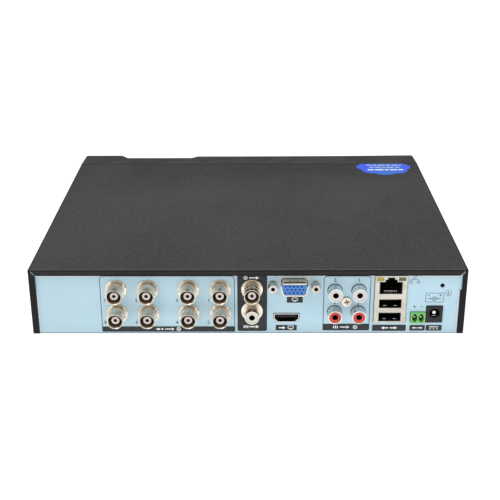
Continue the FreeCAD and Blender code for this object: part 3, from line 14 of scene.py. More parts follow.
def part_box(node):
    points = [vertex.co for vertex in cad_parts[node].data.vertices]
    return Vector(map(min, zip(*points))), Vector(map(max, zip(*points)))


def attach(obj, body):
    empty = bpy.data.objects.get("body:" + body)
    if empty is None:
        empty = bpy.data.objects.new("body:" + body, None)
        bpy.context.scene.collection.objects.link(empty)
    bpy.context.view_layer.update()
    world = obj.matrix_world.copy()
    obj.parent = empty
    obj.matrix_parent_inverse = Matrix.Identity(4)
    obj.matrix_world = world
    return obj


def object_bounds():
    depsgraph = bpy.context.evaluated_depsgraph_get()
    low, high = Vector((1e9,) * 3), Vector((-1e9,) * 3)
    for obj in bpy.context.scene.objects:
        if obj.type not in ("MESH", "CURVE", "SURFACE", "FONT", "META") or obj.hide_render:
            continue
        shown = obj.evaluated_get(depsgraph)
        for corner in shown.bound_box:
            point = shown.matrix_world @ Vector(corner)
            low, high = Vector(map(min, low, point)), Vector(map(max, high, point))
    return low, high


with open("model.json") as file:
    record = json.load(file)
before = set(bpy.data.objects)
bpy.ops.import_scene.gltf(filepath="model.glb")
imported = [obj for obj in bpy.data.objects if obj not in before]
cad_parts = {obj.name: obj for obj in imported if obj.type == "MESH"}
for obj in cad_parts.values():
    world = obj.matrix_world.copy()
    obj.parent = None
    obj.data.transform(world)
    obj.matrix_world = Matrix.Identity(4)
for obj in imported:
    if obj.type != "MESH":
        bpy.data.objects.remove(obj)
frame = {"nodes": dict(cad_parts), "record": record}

CAD_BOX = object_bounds()
NODES = frame["nodes"]
MM = 0.001

# Places that the CAD nodes give
LABEL_LOW = Vector(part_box("rear_label")[0])
COVER_LOW, COVER_HIGH = (Vector(corner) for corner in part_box("top_cover"))
CASE_FLOOR = COVER_LOW.z

# Printing on the rear label, in millimetres
INK = 0.04
DARK_INK = 0.06
RAISED_INK = 0.09
LINE = 0.45
THIN_LINE = 0.25
FRAME_RADIUS = 2.2
BAR_RADIUS = 0.8
BLOCK_RADIUS = 1.2
PLATE_RADIUS = 0.4
NUMERAL_HEIGHT = 2.1
NUMERAL_BOLD = 0.05
NUMERAL_SHARE = 0.7  # a numeral's height as a share of its font's size

# Printed areas: left, low, right and high edges; x from the label's middle, z above the case's floor
VIDEO_FRAME, VIDEO_BAR_TOP = (-86.8, 0.7, -7.7, 37.3), 4.2
AUDIO_FRAME, AUDIO_BAR_TOP = (44.3, 1.5, 72.0, 37.2), 5.9
OUTPUT_BLOCK = (-6.2, 1.1, 11.3, 38.0)
PLATES = {
    "monitor": (22.9, 19.8, 32.3, 23.7),
    "digital": (16.5, 1.5, 29.0, 5.1),
    "bus": (73.8, 1.1, 93.8, 5.2),
    "control": (96.0, 1.3, 105.1, 5.0),
    "supply": (105.6, 1.3, 115.1, 5.0),
}

# Sheet, sockets, screws and sticker, in millimetres
LIP = 3.9
DISH_RADIUS = 6.25
JACK_BORE, JACK_INSULATOR, JACK_DEPTH = 4.05, 2.3, 8.4
PHONO_RADIUS, PHONO_HOLE, PHONO_DEPTH = 4.15, 1.75, 6.0
POST_RADIUS, POST_HOLE, POST_DEPTH = 2.8, 1.2, 3.5
CONTACT_COUNT = 8
RECESS_RIM, RECESS_RISE, RECESS_DEPTH = 0.14, 0.16, 0.12
HEAD_SPACING = 8.0
STICKER_X, STICKER_Y = 101.0, 84.5
STICKER_REACH_X, STICKER_REACH_Y = 20.2, 18.2
STICKER_FILM = 0.06


def node_middle(name):
    """The middle of a CAD node's box."""
    low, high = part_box(name)
    return (Vector(low) + Vector(high)) / 2


# ---- Effects that several finishes share

def effect(name, inputs, outputs, build):
    """A shader node group: build gets its tree, its input node and its output node."""
    tree = bpy.data.node_groups.new(name, "ShaderNodeTree")
    for socket, kind, value in inputs:
        made = tree.interface.new_socket(socket, in_out="INPUT", socket_type="NodeSocket" + kind)
        if value is not None:
            made.default_value = value
    for socket, kind in outputs:
        tree.interface.new_socket(socket, in_out="OUTPUT", socket_type="NodeSocket" + kind)
    build(tree, tree.nodes.new("NodeGroupInput"), tree.nodes.new("NodeGroupOutput"))
    return tree


def add(tree, kind, **settings):
    """A node with some of its properties or input values set."""
    node = tree.nodes.new("ShaderNode" + kind)
    for name, value in settings.items():
        if name in node.inputs:
            node.inputs[name].default_value = value
        else:
            setattr(node, name, value)
    return node


def sums(tree, operation, first, second=None, clamp=False):
    """A Math node; each operand is a socket or a number."""
    node = add(tree, "Math", operation=operation, use_clamp=clamp)
    for socket, value in zip(node.inputs, (first, second)):
        if isinstance(value, (int, float)):
            socket.default_value = value
        elif value is not None:
            tree.links.new(value, socket)
    return node.outputs[0]


def build_grain(tree, given, result):
    """Fine orange peel: small cells softened by noise."""
    cells = add(tree, "TexVoronoi", feature="SMOOTH_F1")
    noise = add(tree, "TexNoise", Detail=3.0, Roughness=0.6)
    for texture in (cells, noise):
        tree.links.new(given.outputs["Vector"], texture.inputs["Vector"])
        tree.links.new(given.outputs["Scale"], texture.inputs["Scale"])
    soft_cells = sums(tree, "MULTIPLY", cells.outputs["Distance"], 0.55)
    mixed = sums(tree, "ADD", soft_cells, noise.outputs["Fac"])
    tree.links.new(sums(tree, "SUBTRACT", mixed, 0.25), result.inputs["Height"])


def build_handling(tree, given, result):
    """Large soft patches, where hands and cloths have changed the gloss."""
    noise = add(tree, "TexNoise", Detail=5.0, Roughness=0.62, Distortion=0.4)
    tree.links.new(given.outputs["Vector"], noise.inputs["Vector"])
    tree.links.new(given.outputs["Scale"], noise.inputs["Scale"])
    ramp = add(tree, "MapRange", interpolation_type="SMOOTHSTEP")
    ramp.inputs["From Min"].default_value = 0.38
    ramp.inputs["From Max"].default_value = 0.66
    tree.links.new(noise.outputs["Fac"], ramp.inputs["Value"])
    tree.links.new(ramp.outputs["Result"], result.inputs["Mask"])


def build_brushing(tree, given, result):
    """Long thin lines along X, as rolled and brushed sheet has."""
    stretch = add(tree, "Mapping")
    stretch.inputs["Scale"].default_value = (0.04, 1.0, 1.0)
    noise = add(tree, "TexNoise", Detail=4.0, Roughness=0.7)
    tree.links.new(given.outputs["Vector"], stretch.inputs["Vector"])
    tree.links.new(stretch.outputs["Vector"], noise.inputs["Vector"])
    tree.links.new(given.outputs["Scale"], noise.inputs["Scale"])
    tree.links.new(noise.outputs["Fac"], result.inputs["Height"])


def build_dust(tree, given, result):
    """Dust on what faces up, thin and patchy."""
    normal = add(tree, "NewGeometry")
    split = add(tree, "SeparateXYZ")
    tree.links.new(normal.outputs["Normal"], split.inputs[0])
    up = sums(tree, "POWER", sums(tree, "MAXIMUM", split.outputs["Z"], 0.0), 3.0)
    noise = add(tree, "TexNoise", Scale=420.0, Detail=6.0, Roughness=0.75)
    tree.links.new(given.outputs["Vector"], noise.inputs["Vector"])
    specks = sums(tree, "MULTIPLY", sums(tree, "SUBTRACT", noise.outputs["Fac"], 0.42, clamp=True), 3.0)
    amount = sums(tree, "MULTIPLY", sums(tree, "MULTIPLY", up, specks), given.outputs["Amount"])
    tree.links.new(amount, result.inputs["Mask"])


VECTOR_IN = ("Vector", "Vector", None)
HEIGHT_OUT = ("Height", "Float")
MASK_OUT = ("Mask", "Float")
GRAIN = effect("orange_peel", [VECTOR_IN, ("Scale", "Float", 900.0)], [HEIGHT_OUT], build_grain)
HANDLING = effect("handling_marks", [VECTOR_IN, ("Scale", "Float", 18.0)], [MASK_OUT], build_handling)
BRUSHING = effect("brushed_lines", [VECTOR_IN, ("Scale", "Float", 3000.0)], [HEIGHT_OUT], build_brushing)
DUST = effect("settled_dust", [VECTOR_IN, ("Amount", "Float", 0.1)], [MASK_OUT], build_dust)
DUST_COLOUR = (0.46, 0.44, 0.40)


class Finish:
    """A procedural material: a Principled shader with the shared effects wired to it."""

    def __init__(self, name):
        self.material = bpy.data.materials.new(name)
        self.material.use_nodes = True
        self.tree = self.material.node_tree
        self.shader = next(node for node in self.tree.nodes if node.type == "BSDF_PRINCIPLED")
        self.place = add(self.tree, "TexCoord").outputs["Object"]

    def link(self, source, target):
        self.tree.links.new(source, target)

    def use(self, group, **values):
        """The output of a shared effect at this material's own points."""
        node = self.tree.nodes.new("ShaderNodeGroup")
        node.node_tree = group
        self.link(self.place, node.inputs["Vector"])
        for name, value in values.items():
            node.inputs[name].default_value = value
        return node.outputs[0]

    def blend(self, amount, first, second):
        """A colour between two; each is a socket or a colour."""
        mix = add(self.tree, "Mix", data_type="RGBA")
        self.link(amount, mix.inputs[0])
        for socket, value in ((mix.inputs[6], first), (mix.inputs[7], second)):
            if isinstance(value, tuple):
                socket.default_value = (*value, 1.0)
            else:
                self.link(value, socket)
        return mix.outputs[2]

    def colour(self, value):
        self.link(value, self.shader.inputs["Base Color"])

    def step(self, value, low, high):
        """A mask that rises from 0 to 1 as a value goes from low to high."""
        rise = add(self.tree, "MapRange")
        rise.inputs["From Min"].default_value = low
        rise.inputs["From Max"].default_value = high
        self.link(value, rise.inputs["Value"])
        return rise.outputs["Result"]

    def band(self, value, low, full, fade, high):
        """A mask that is 1 from full to fade, and 0 below low and above high."""
        return sums(self.tree, "MULTIPLY", self.step(value, low, full), self.step(value, high, fade))

    def axes(self):
        """The point's own coordinates, in metres."""
        split = add(self.tree, "SeparateXYZ")
        self.link(self.place, split.inputs[0])
        return split.outputs

    def roughness(self, mask, low, high):
        """Roughness that goes from low to high with a mask."""
        spread = add(self.tree, "MapRange")
        spread.inputs["To Min"].default_value = low
        spread.inputs["To Max"].default_value = high
        self.link(mask, spread.inputs["Value"])
        self.link(spread.outputs["Result"], self.shader.inputs["Roughness"])

    def bump(self, height, depth, strength=0.6):
        """Relief as deep as depth, in millimetres."""
        node = add(self.tree, "Bump", Strength=strength)
        node.inputs["Distance"].default_value = depth * MM
        self.link(height, node.inputs["Height"])
        self.link(node.outputs["Normal"], self.shader.inputs["Normal"])

    def fixed(self, **values):
        """Values that are the same all over, set on the shader's own sockets."""
        for name, value in values.items():
            self.shader.inputs[name.replace("_", " ").title().replace("Ior", "IOR")].default_value = value
        return self


def shade(colour, factor):
    """A colour made darker or lighter by a factor."""
    return tuple(min(channel * factor, 1.0) for channel in colour)


def plastic(name, colour, rough=(0.3, 0.45), peel=1400.0, depth=0.02, tone=0.12, dust=0.0):
    """Moulded plastic: a fine spark texture, slight tone changes and handled patches."""
    made = Finish(name)
    grain = made.use(GRAIN, Scale=peel)
    handled = made.use(HANDLING, Scale=26.0)
    body = made.blend(grain, shade(colour, 1 - tone), shade(colour, 1 + tone))
    if dust:
        body = made.blend(made.use(DUST, Amount=dust), body, DUST_COLOUR)
    made.colour(body)
    made.roughness(handled, *rough)
    made.bump(grain, depth)
    return made


def metal(name, colour, rough=(0.16, 0.34), lines=2600.0, depth=0.006, tarnish=0.25):
    """Plated or rolled metal: fine lines, and patches where the plating is duller."""
    made = Finish(name)
    drawn = made.use(BRUSHING, Scale=lines)
    dull = made.use(HANDLING, Scale=170.0)
    made.colour(made.blend(dull, colour, shade(colour, 1 - tarnish)))
    made.roughness(dull, *rough)
    made.bump(drawn, depth, 0.4)
    return made.fixed(metallic=1.0)


def cover_paint():
    """Satin powder coat, dusty on top, with painted shade on its lip, sides, edges and bends and a painted
    highlight on the top bends.
    """
    made = Finish("powder_coat_dark")
    peel = made.use(GRAIN, Scale=1500.0)
    handled = made.use(HANDLING, Scale=9.0)
    x, y, z = made.axes()
    left, right, far, top = COVER_LOW.x, COVER_HIGH.x, COVER_HIGH.y, COVER_HIGH.z
    paint = made.blend(peel, (0.0245, 0.0245, 0.0245), (0.028, 0.028, 0.028))
    paint = made.blend(made.step(y, 20 * MM, 80 * MM), paint, (0.0135, 0.0135, 0.0125))
    # Painted shade: darker below the top face, down the lip and the sides
    paint = made.blend(made.step(z, top - 5 * MM, top), (0.003, 0.0035, 0.0045), paint)
    # Painted shade: a nearly black line under the top bends
    shaded = made.band(z, top - 1.216 * MM, top - 1.056 * MM, top - 0.32 * MM, top - 0.272 * MM)
    paint = made.blend(shaded, paint, (0.0015, 0.0015, 0.002))
    # Painted highlight: a lighter line on the top bends, above the painted shade
    painted_bend_highlight = made.band(z, top - 0.272 * MM, top - 0.224 * MM, top - 0.048 * MM, top - 0.016 * MM)
    paint = made.blend(painted_bend_highlight, paint, (0.075, 0.075, 0.073))
    paint = made.blend(made.use(DUST, Amount=0.085), paint, DUST_COLOUR)
    # Painted shade: nearly black along the edge at the moulded front and along the left and right edges
    paint = made.blend(made.step(y, far - 1.1 * MM, far - 0.3 * MM), paint, (0.001, 0.001, 0.001))
    paint = made.blend(made.step(x, right - 1.5 * MM, right - 0.6 * MM), paint, (0.002, 0.002, 0.002))
    paint = made.blend(made.step(x, left + 1.5 * MM, left + 0.6 * MM), paint, (0.002, 0.002, 0.002))
    made.colour(paint)
    made.roughness(handled, 0.46, 0.56)
    made.bump(peel, 0.012, 0.25)
    return made.fixed(specular_ior_level=0.22).material


def front_plastic():
    """The moulded front: black, with a very fine spark texture and a little dust."""
    made = plastic("front_moulding_black", (0.012, 0.012, 0.0118), (0.4, 0.52), 1800.0, 0.015, 0.1, 0.04)
    return made.fixed(specular_ior_level=0.22).material


def galvanised():
    """Zinc-coated sheet: flat crystals of slightly different grey, and fine rolling lines."""
    made = Finish("zinc_sheet")
    crystals = add(made.tree, "TexVoronoi", Scale=320.0)
    made.link(made.place, crystals.inputs["Vector"])
    tint = add(made.tree, "RGBToBW")
    made.link(crystals.outputs["Color"], tint.inputs[0])
    made.colour(made.blend(tint.outputs[0], (0.50, 0.51, 0.53), (0.66, 0.67, 0.68)))
    made.roughness(tint.outputs[0], 0.34, 0.5)
    made.bump(made.use(BRUSHING, Scale=1800.0), 0.008, 0.4)
    return made.fixed(metallic=1.0).material


def label_film():
    """Light blue satin film: mottled ink and a fine matt grain, with painted shade darkening it at the
    left and along the foot.
    """
    made = Finish("label_film_blue")
    mottle = made.use(HANDLING, Scale=60.0)
    x, _, z = made.axes()
    film = made.blend(mottle, (0.455, 0.655, 0.765), (0.495, 0.69, 0.79))
    # Painted shade: darker at the left and along the foot
    film = made.blend(made.step(x, -70 * MM, -110 * MM), film, (0.430, 0.610, 0.695))
    foot = made.step(z, LABEL_LOW.z + 7 * MM, LABEL_LOW.z + 1 * MM)
    film = made.blend(foot, film, (0.410, 0.585, 0.675))
    made.colour(film)
    made.roughness(mottle, 0.36, 0.46)
    made.bump(made.use(GRAIN, Scale=3200.0), 0.008, 0.3)
    return made.material


def ink(name, colour, gloss=0.4):
    """Screen-printed ink: slightly uneven in tone and thickness."""
    made = Finish(name)
    grain = made.use(GRAIN, Scale=2400.0)
    made.colour(made.blend(grain, shade(colour, 0.88), shade(colour, 1.1)))
    made.roughness(made.use(HANDLING, Scale=70.0), gloss - 0.06, gloss + 0.08)
    made.bump(grain, 0.006, 0.4)
    return made.material


def two_lamps():
    """The network socket's two light windows: yellow-green on the left, dark green on the right."""
    made = Finish("lamp_windows")
    right = sums(made.tree, "GREATER_THAN", made.axes()["X"], node_middle("network_lights").x)
    grain = made.use(GRAIN, Scale=1700.0)
    tint = made.blend(right, (0.42, 0.36, 0.04), (0.10, 0.12, 0.035))
    made.colour(made.blend(sums(made.tree, "MULTIPLY", grain, 0.25), tint, (0.02, 0.02, 0.01)))
    made.roughness(grain, 0.18, 0.32)
    made.bump(grain, 0.01, 0.3)
    return made.fixed(subsurface_weight=0.15, subsurface_scale=0.001).material


def laminate(name):
    """Circuit board: green lacquer over copper tracks that show as slightly lighter lines."""
    made = Finish(name)
    tracks = add(made.tree, "TexBrick", Scale=260.0)
    tracks.inputs["Mortar Size"].default_value = 0.03
    tracks.inputs["Color1"].default_value = (0.0, 0.0, 0.0, 1.0)
    tracks.inputs["Color2"].default_value = (0.15, 0.15, 0.15, 1.0)
    tracks.inputs["Mortar"].default_value = (1.0, 1.0, 1.0, 1.0)
    made.link(made.place, tracks.inputs["Vector"])
    light = add(made.tree, "RGBToBW")
    made.link(tracks.outputs["Color"], light.inputs[0])
    made.colour(made.blend(light.outputs[0], (0.008, 0.075, 0.03), (0.03, 0.16, 0.06)))
    made.roughness(made.use(HANDLING, Scale=90.0), 0.25, 0.4)
    made.bump(light.outputs[0], 0.03, 0.5)
    return made.material


def window_plastic():
    """The remote's window in the front: smoked, glossy and clear coated."""
    made = plastic("smoked_window", (0.018, 0.008, 0.012), (0.05, 0.12), 500.0, 0.002, 0.2)
    return made.fixed(coat_weight=0.6, coat_roughness=0.04).material


def components():
    """Chips, coils and capacitors in one finish: black bodies whose tops are a little lighter."""
    made = Finish("component_bodies")
    grain = made.use(GRAIN, Scale=2600.0)
    low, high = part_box("board_components")
    tall = sums(made.tree, "GREATER_THAN", made.axes()["Z"], low[2] + 0.85 * (high[2] - low[2]))
    body = made.blend(grain, (0.018, 0.018, 0.02), (0.035, 0.035, 0.037))
    made.colour(made.blend(tall, body, (0.42, 0.43, 0.45)))
    made.roughness(grain, 0.4, 0.6)
    made.bump(grain, 0.02)
    return made.material


def rubber():
    """The feet: dull, coarse and dusty."""
    made = plastic("foot_rubber", (0.02, 0.02, 0.02), (0.65, 0.85), 900.0, 0.05, 0.25, 0.15)
    return made.fixed(specular_ior_level=0.3).material


def sticker_film():
    """Blue gloss film: azure in the middle, violet-blue towards both ends."""
    made = plastic("sticker_blue", (0.03, 0.115, 0.78), (0.4, 0.5), 500.0, 0.004, 0.12)
    x = made.axes()["X"]
    left = made.step(x, (STICKER_X - 3) * MM, (STICKER_X - 14) * MM)
    right = made.step(x, (STICKER_X + 3) * MM, (STICKER_X + 16) * MM)
    film = made.blend(left, (0.018, 0.165, 0.68), (0.035, 0.105, 0.85))
    made.colour(made.blend(right, film, (0.035, 0.115, 0.85)))
    return made.fixed(specular_ior_level=0.25).material


BLACK_PLASTIC = plastic("socket_black", (0.010, 0.009, 0.012)).fixed(specular_ior_level=0.35).material
WARM_NICKEL = metal("warm_nickel", (0.80, 0.73, 0.62)).material
COOL_NICKEL = metal("cool_nickel", (0.80, 0.79, 0.77)).material
TIN_PLATE = metal("tin_plate", (0.60, 0.575, 0.50), (0.34, 0.5), 1500.0, 0.01, 0.1).material
GOLD = metal("contact_gold", (0.86, 0.62, 0.28), (0.2, 0.3)).material
WHITE_PLASTIC = plastic("audio_white", (0.66, 0.65, 0.63), (0.25, 0.4), 1600.0, 0.01, 0.05).material
SCREW_STEEL = metal("screw_zinc", (0.62, 0.62, 0.60), (0.25, 0.4)).material
LAMINATE = laminate("board_lacquer")
BLACK_INK = ink("ink_black", (0.006, 0.0095, 0.0125), 0.5)
WHITE_INK = ink("ink_white", (0.86, 0.88, 0.90))
GREY_INK = ink("ink_grey", (0.075, 0.105, 0.135))
# Painted shade: dark brown in the jack bores
BORE_SHADE = plastic("bore_shade_brown", (0.19, 0.125, 0.075), (0.3, 0.5), 900.0, 0.01, 0.25).material
# Painted shade: dark brown in the pan screws' cross recesses
RECESS_SHADE = metal("recess_shade_brown", (0.20, 0.15, 0.10)).material
# Painted shade: black in the smaller socket holes
HOLE_SHADE = plastic("hole_shade_black", (0.008, 0.005, 0.006), (0.4, 0.6), 900.0, 0.01).material
CLEAR_PIPE = plastic("light_pipe_clear", (0.6, 0.64, 0.62), (0.08, 0.2), 700.0, 0.004, 0.05).material
CLEAR_LAMP = plastic("lamp_clear", (0.62, 0.64, 0.66), (0.1, 0.2), 900.0, 0.004, 0.05).material
PALE_INSULATOR = plastic("jack_insulator", (0.78, 0.70, 0.66), (0.3, 0.42), 1800.0, 0.01, 0.06).material
RED_PLASTIC = plastic("audio_red", (0.60, 0.045, 0.028), (0.25, 0.4), 1600.0, 0.01, 0.1).material
BLUE_PLASTIC = plastic("monitor_blue", (0.055, 0.19, 0.56), (0.3, 0.42), 1700.0, 0.01).material
GREEN_PLASTIC = plastic("terminal_green", (0.16, 0.48, 0.12), (0.32, 0.45), 1300.0, 0.015).material

FINISHES = {
    "top_cover": cover_paint(),
    "base_tray": galvanised(),
    "front_bezel": front_plastic(),
    "ir_window": window_plastic(),
    "light_pipes": CLEAR_PIPE,
    "rear_label": label_film(),
    "rubber_feet": rubber(),
    "cover_screws": metal("screw_blacked", (0.05, 0.05, 0.05), (0.3, 0.45)).material,
    "pan_screws": WARM_NICKEL,
    "drive_screws": SCREW_STEEL,
    "board_standoffs": SCREW_STEEL,
    "jack_insulators": PALE_INSULATOR,
    "jack_contacts": metal("contact_dark", (0.10, 0.085, 0.075), (0.3, 0.45)).material,
    "audio_out_sleeve": WARM_NICKEL,
    "audio_in_sleeves": COOL_NICKEL,
    "white_audio_inserts": WHITE_PLASTIC,
    "red_audio_inserts": RED_PLASTIC,
    "monitor_socket_shell": metal("shell_nickel", (0.74, 0.66, 0.54), (0.14, 0.26)).material,
    "monitor_socket_insulator": BLUE_PLASTIC,
    "monitor_socket_jackscrews": metal("jackscrew_nickel", (0.60, 0.56, 0.52)).material,
    "digital_socket_shell": COOL_NICKEL,
    "network_socket_shield": TIN_PLATE,
    "network_lights": two_lamps(),
    "network_contacts": GOLD,
    "terminal_header": GREEN_PLASTIC,
    "terminal_pins": metal("pin_tin", (0.45, 0.45, 0.43)).material,
    "power_jack_contacts": COOL_NICKEL,
    "mainboard": LAMINATE,
    "indicator_board": LAMINATE,
    "drive_board": LAMINATE,
    "board_components": components(),
    "heat_sink": metal("sink_anodised", (0.10, 0.10, 0.11), (0.35, 0.5)).material,
    "coin_cell": SCREW_STEEL,
    "indicator_lights": CLEAR_LAMP,
    "drive_base": metal("drive_casting", (0.52, 0.53, 0.54), (0.45, 0.62), 900.0, 0.02).material,
    "drive_cover": metal("drive_lid_steel", (0.68, 0.69, 0.70), (0.24, 0.36)).material,
    "drive_disks": metal("disk_mirror", (0.84, 0.84, 0.86), (0.02, 0.06), 4000.0, 0.001, 0.05).material,
    "drive_arm": metal("arm_aluminium", (0.72, 0.73, 0.74), (0.25, 0.4)).material,
}


def dress_nodes():
    """Gives each CAD node its finish: barrels in warm nickel, the rest of the mouldings black."""
    for name, node in NODES.items():
        barrel = name.startswith("video") and "housing" not in name
        finish = FINISHES.get(name, WARM_NICKEL if barrel else BLACK_PLASTIC)
        node.data.materials.clear()
        node.data.materials.append(finish)


# ---- Mesh helpers

def piece(name, bm, material, body="case"):
    """Makes a finished object of a bmesh and lets it ride on a body."""
    mesh = bpy.data.meshes.new(name)
    bmesh.ops.remove_doubles(bm, verts=bm.verts, dist=1e-7)
    bmesh.ops.recalc_face_normals(bm, faces=bm.faces)
    bm.to_mesh(mesh)
    bm.free()
    made = bpy.data.objects.new(name, mesh)
    bpy.context.scene.collection.objects.link(made)
    mesh.materials.append(material)
    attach(made, body)
    return made


def absorb(bm, part, matrix):
    """Moves one bmesh into another, placed by a matrix."""
    bmesh.ops.transform(part, matrix=matrix, verts=part.verts)
    mesh = bpy.data.meshes.new("passing")
    part.to_mesh(mesh)
    part.free()
    bm.from_mesh(mesh)
    bpy.data.meshes.remove(mesh)


UPRIGHT = Matrix.Rotation(math.radians(90), 4, "X")


def on_label(x, z):
    """Turns a flat shape to face out of the label, at x from the middle and z above the case's floor."""
    return Matrix.Translation((x * MM, LABEL_LOW.y, CASE_FLOOR + z * MM)) @ UPRIGHT


def on_cover(x, y):
    """Lays a flat shape on top of the cover."""
    return Matrix.Translation((x * MM, y * MM, COVER_HIGH.z))


def thicken(part, height):
    """Gives a flat shape in XY a thickness towards +Z."""
    grown = bmesh.ops.extrude_face_region(part, geom=part.faces[:])
    verts = [v for v in grown["geom"] if isinstance(v, bmesh.types.BMVert)]
    bmesh.ops.translate(part, verts=verts, vec=(0, 0, height))


def rectangle(width, height, radius):
    """A flat face about the origin with rounded corners, in millimetres."""
    part = bmesh.new()
    corners = bmesh.ops.create_grid(part, x_segments=1, y_segments=1, size=0.5)["verts"]
    bmesh.ops.scale(part, vec=(width * MM, height * MM, 1), verts=corners)
    if radius:
        bmesh.ops.bevel(part, geom=part.verts[:], offset=radius * MM, segments=6, profile=0.5,
                        affect="VERTICES", material=-1)
    return part


def keep_rim(part, line):
    """Leaves only a rim of a flat face, as wide as line, in millimetres."""
    middle = part.faces[:]
    bmesh.ops.inset_region(part, faces=middle, thickness=line * MM, use_even_offset=True,
                           use_boundary=True)
    bmesh.ops.delete(part, geom=middle, context="FACES")


def rounded(width, height, radius, line=None, thick=INK):
    """A flat rounded rectangle about the origin, in millimetres; with a line width, only its rim."""
    part = rectangle(width, height, radius)
    if line:
        keep_rim(part, line)
    thicken(part, thick * MM)
    return part


def pierced(width, height, radius, holes, hole, thick=INK):
    """A flat rounded rectangle about the origin with round holes at given places, in millimetres."""
    part = rectangle(width, height, radius)
    bmesh.ops.delete(part, geom=part.faces[:], context="FACES_ONLY")
    for x, z in holes:
        place = Matrix.Translation((x * MM, z * MM, 0))
        bmesh.ops.create_circle(part, radius=hole * MM, segments=64, matrix=place)
    bmesh.ops.triangle_fill(part, use_beauty=True, edges=part.edges[:], normal=(0, 0, 1))
    thicken(part, thick * MM)
    return part


def disc(radius, hole=0.0, thick=INK):
    """A flat disc or ring about the origin, in millimetres."""
    part = bmesh.new()
    bmesh.ops.create_circle(part, cap_ends=True, radius=radius * MM, segments=40)
    if hole:
        keep_rim(part, radius - hole)
    thicken(part, thick * MM)
    return part


def numeral(number):
    """A plain number about the origin."""
    curve = bpy.data.curves.new("numeral", "FONT")
    curve.body = str(number)
    curve.align_x = "CENTER"
    curve.align_y = "CENTER"
    curve.size = NUMERAL_HEIGHT * MM / NUMERAL_SHARE
    curve.offset = NUMERAL_BOLD * MM
    curve.resolution_u = 3
    holder = bpy.data.objects.new("numeral", curve)
    mesh = bpy.data.meshes.new_from_object(holder)
    part = bmesh.new()
    part.from_mesh(mesh)
    bmesh.ops.remove_doubles(part, verts=part.verts, dist=1e-7)
    thicken(part, INK * MM)
    bpy.data.objects.remove(holder)
    bpy.data.curves.remove(curve)
    bpy.data.meshes.remove(mesh)
    return part


def arrow(length, width, thick=INK):
    """A flat arrow along +X about the origin: a stem and a triangular head."""
    part = rounded(length * 0.6, width * 0.34, 0, thick=thick)
    bmesh.ops.translate(part, verts=part.verts, vec=(-length * 0.2 * MM, 0, 0))
    head = bmesh.new()
    bmesh.ops.create_circle(head, cap_ends=True, radius=width * 0.6 * MM, segments=3)
    bmesh.ops.rotate(head, verts=head.verts, matrix=Matrix.Rotation(math.radians(-90), 3, "Z"))
    thicken(head, thick * MM)
    absorb(part, head, Matrix.Translation((length * 0.25 * MM, 0, 0)))
    return part


def lathe(profile, centre):
    """Spins a profile of (radius, depth) points, in millimetres, about a line along Y through centre."""
    bm = bmesh.new()
    points = [bm.verts.new((centre[0] + radius * MM, centre[1] + depth * MM, centre[2]))
              for radius, depth in profile]
    edges = [bm.edges.new(pair) for pair in zip(points, points[1:])]
    bmesh.ops.spin(bm, geom=points + edges, cent=centre, axis=(0, 1, 0), angle=math.radians(360), steps=40,
                   use_merge=True)
    bmesh.ops.remove_doubles(bm, verts=bm.verts, dist=1e-7)
    return bm


def smooth(made):
    """Smooth shading, with edges sharper than 35 degrees kept crisp."""
    made.data.shade_smooth()
    made.data.set_sharp_from_angle(angle=math.radians(35))


# ---- Prints on the label

OUTPUT = node_middle("video_out_jack")
AUDIO_LOW, AUDIO_HIGH = (Vector(corner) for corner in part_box("audio_in_sleeves"))
VIDEO_JACKS = [node_middle(f"video_jack_{n}") for n in range(1, 9)]
JACK_X = [jack.x / MM for jack in VIDEO_JACKS[:4]]
UPPER_Z = (VIDEO_JACKS[0].z - CASE_FLOOR) / MM
LOWER_Z = (VIDEO_JACKS[4].z - CASE_FLOOR) / MM


def area(left, low, right, high):
    """The middle and the size of an area given by its edges."""
    return ((left + right) / 2, (low + high) / 2), (right - left, high - low)


def stamp(name, material, shapes, where=on_label):
    """One printed piece of several flat shapes: (shape, x, z) or (shape, x, z, turn in degrees)."""
    bm = bmesh.new()
    for shape, x, z, *turn in shapes:
        matrix = where(x, z)
        if turn:
            matrix = matrix @ Matrix.Rotation(math.radians(turn[0]), 4, "Z")
        absorb(bm, shape, matrix)
    return piece(name, bm, material)


def framed(name, edges, bar_top):
    """A thin frame with a dark bar along its foot; gives the height of the bar's middle."""
    left, low, right, _ = edges
    middle, size = area(*edges)
    stamp(name + "_line", GREY_INK, [(rounded(*size, FRAME_RADIUS, LINE), *middle)])
    middle, size = area(left, low, right, bar_top)
    stamp(name + "_bar", BLACK_INK,
          [(rounded(*size, BAR_RADIUS, thick=DARK_INK), *middle)])
    return middle[1]


def plate(name):
    """A small dark plate for a sign; gives its middle."""
    middle, size = area(*PLATES[name])
    stamp(name + "_plate", BLACK_INK,
          [(rounded(*size, PLATE_RADIUS, thick=DARK_INK), *middle)])
    return middle


def dashes(x, z, widths, height=1.1, gap=0.7):
    """A centred row of short bars, for stamp."""
    left = x - (sum(widths) + gap * (len(widths) - 1)) / 2
    row = []
    for width in widths:
        row.append((rounded(width, height, 0.3, thick=RAISED_INK), left + width / 2, z))
        left += width + gap
    return row


def tally(x, z):
    """Three upright strokes."""
    return dashes(x, z, (0.6, 0.6, 0.6), 1.9, 0.5)


def jack_sign(x, z, size=1.3):
    """A ring with a dot in it, for a round socket."""
    return [(disc(size, size - 0.4, RAISED_INK), x, z), (disc(size * 0.36, thick=RAISED_INK), x, z)]


def screen_sign(x, z):
    """A screen on its stand."""
    return [(rounded(3.4, 2.0, 0.3, 0.35, RAISED_INK), x, z + 0.35),
            (rounded(1.7, 0.35, 0, thick=RAISED_INK), x, z - 1.05)]


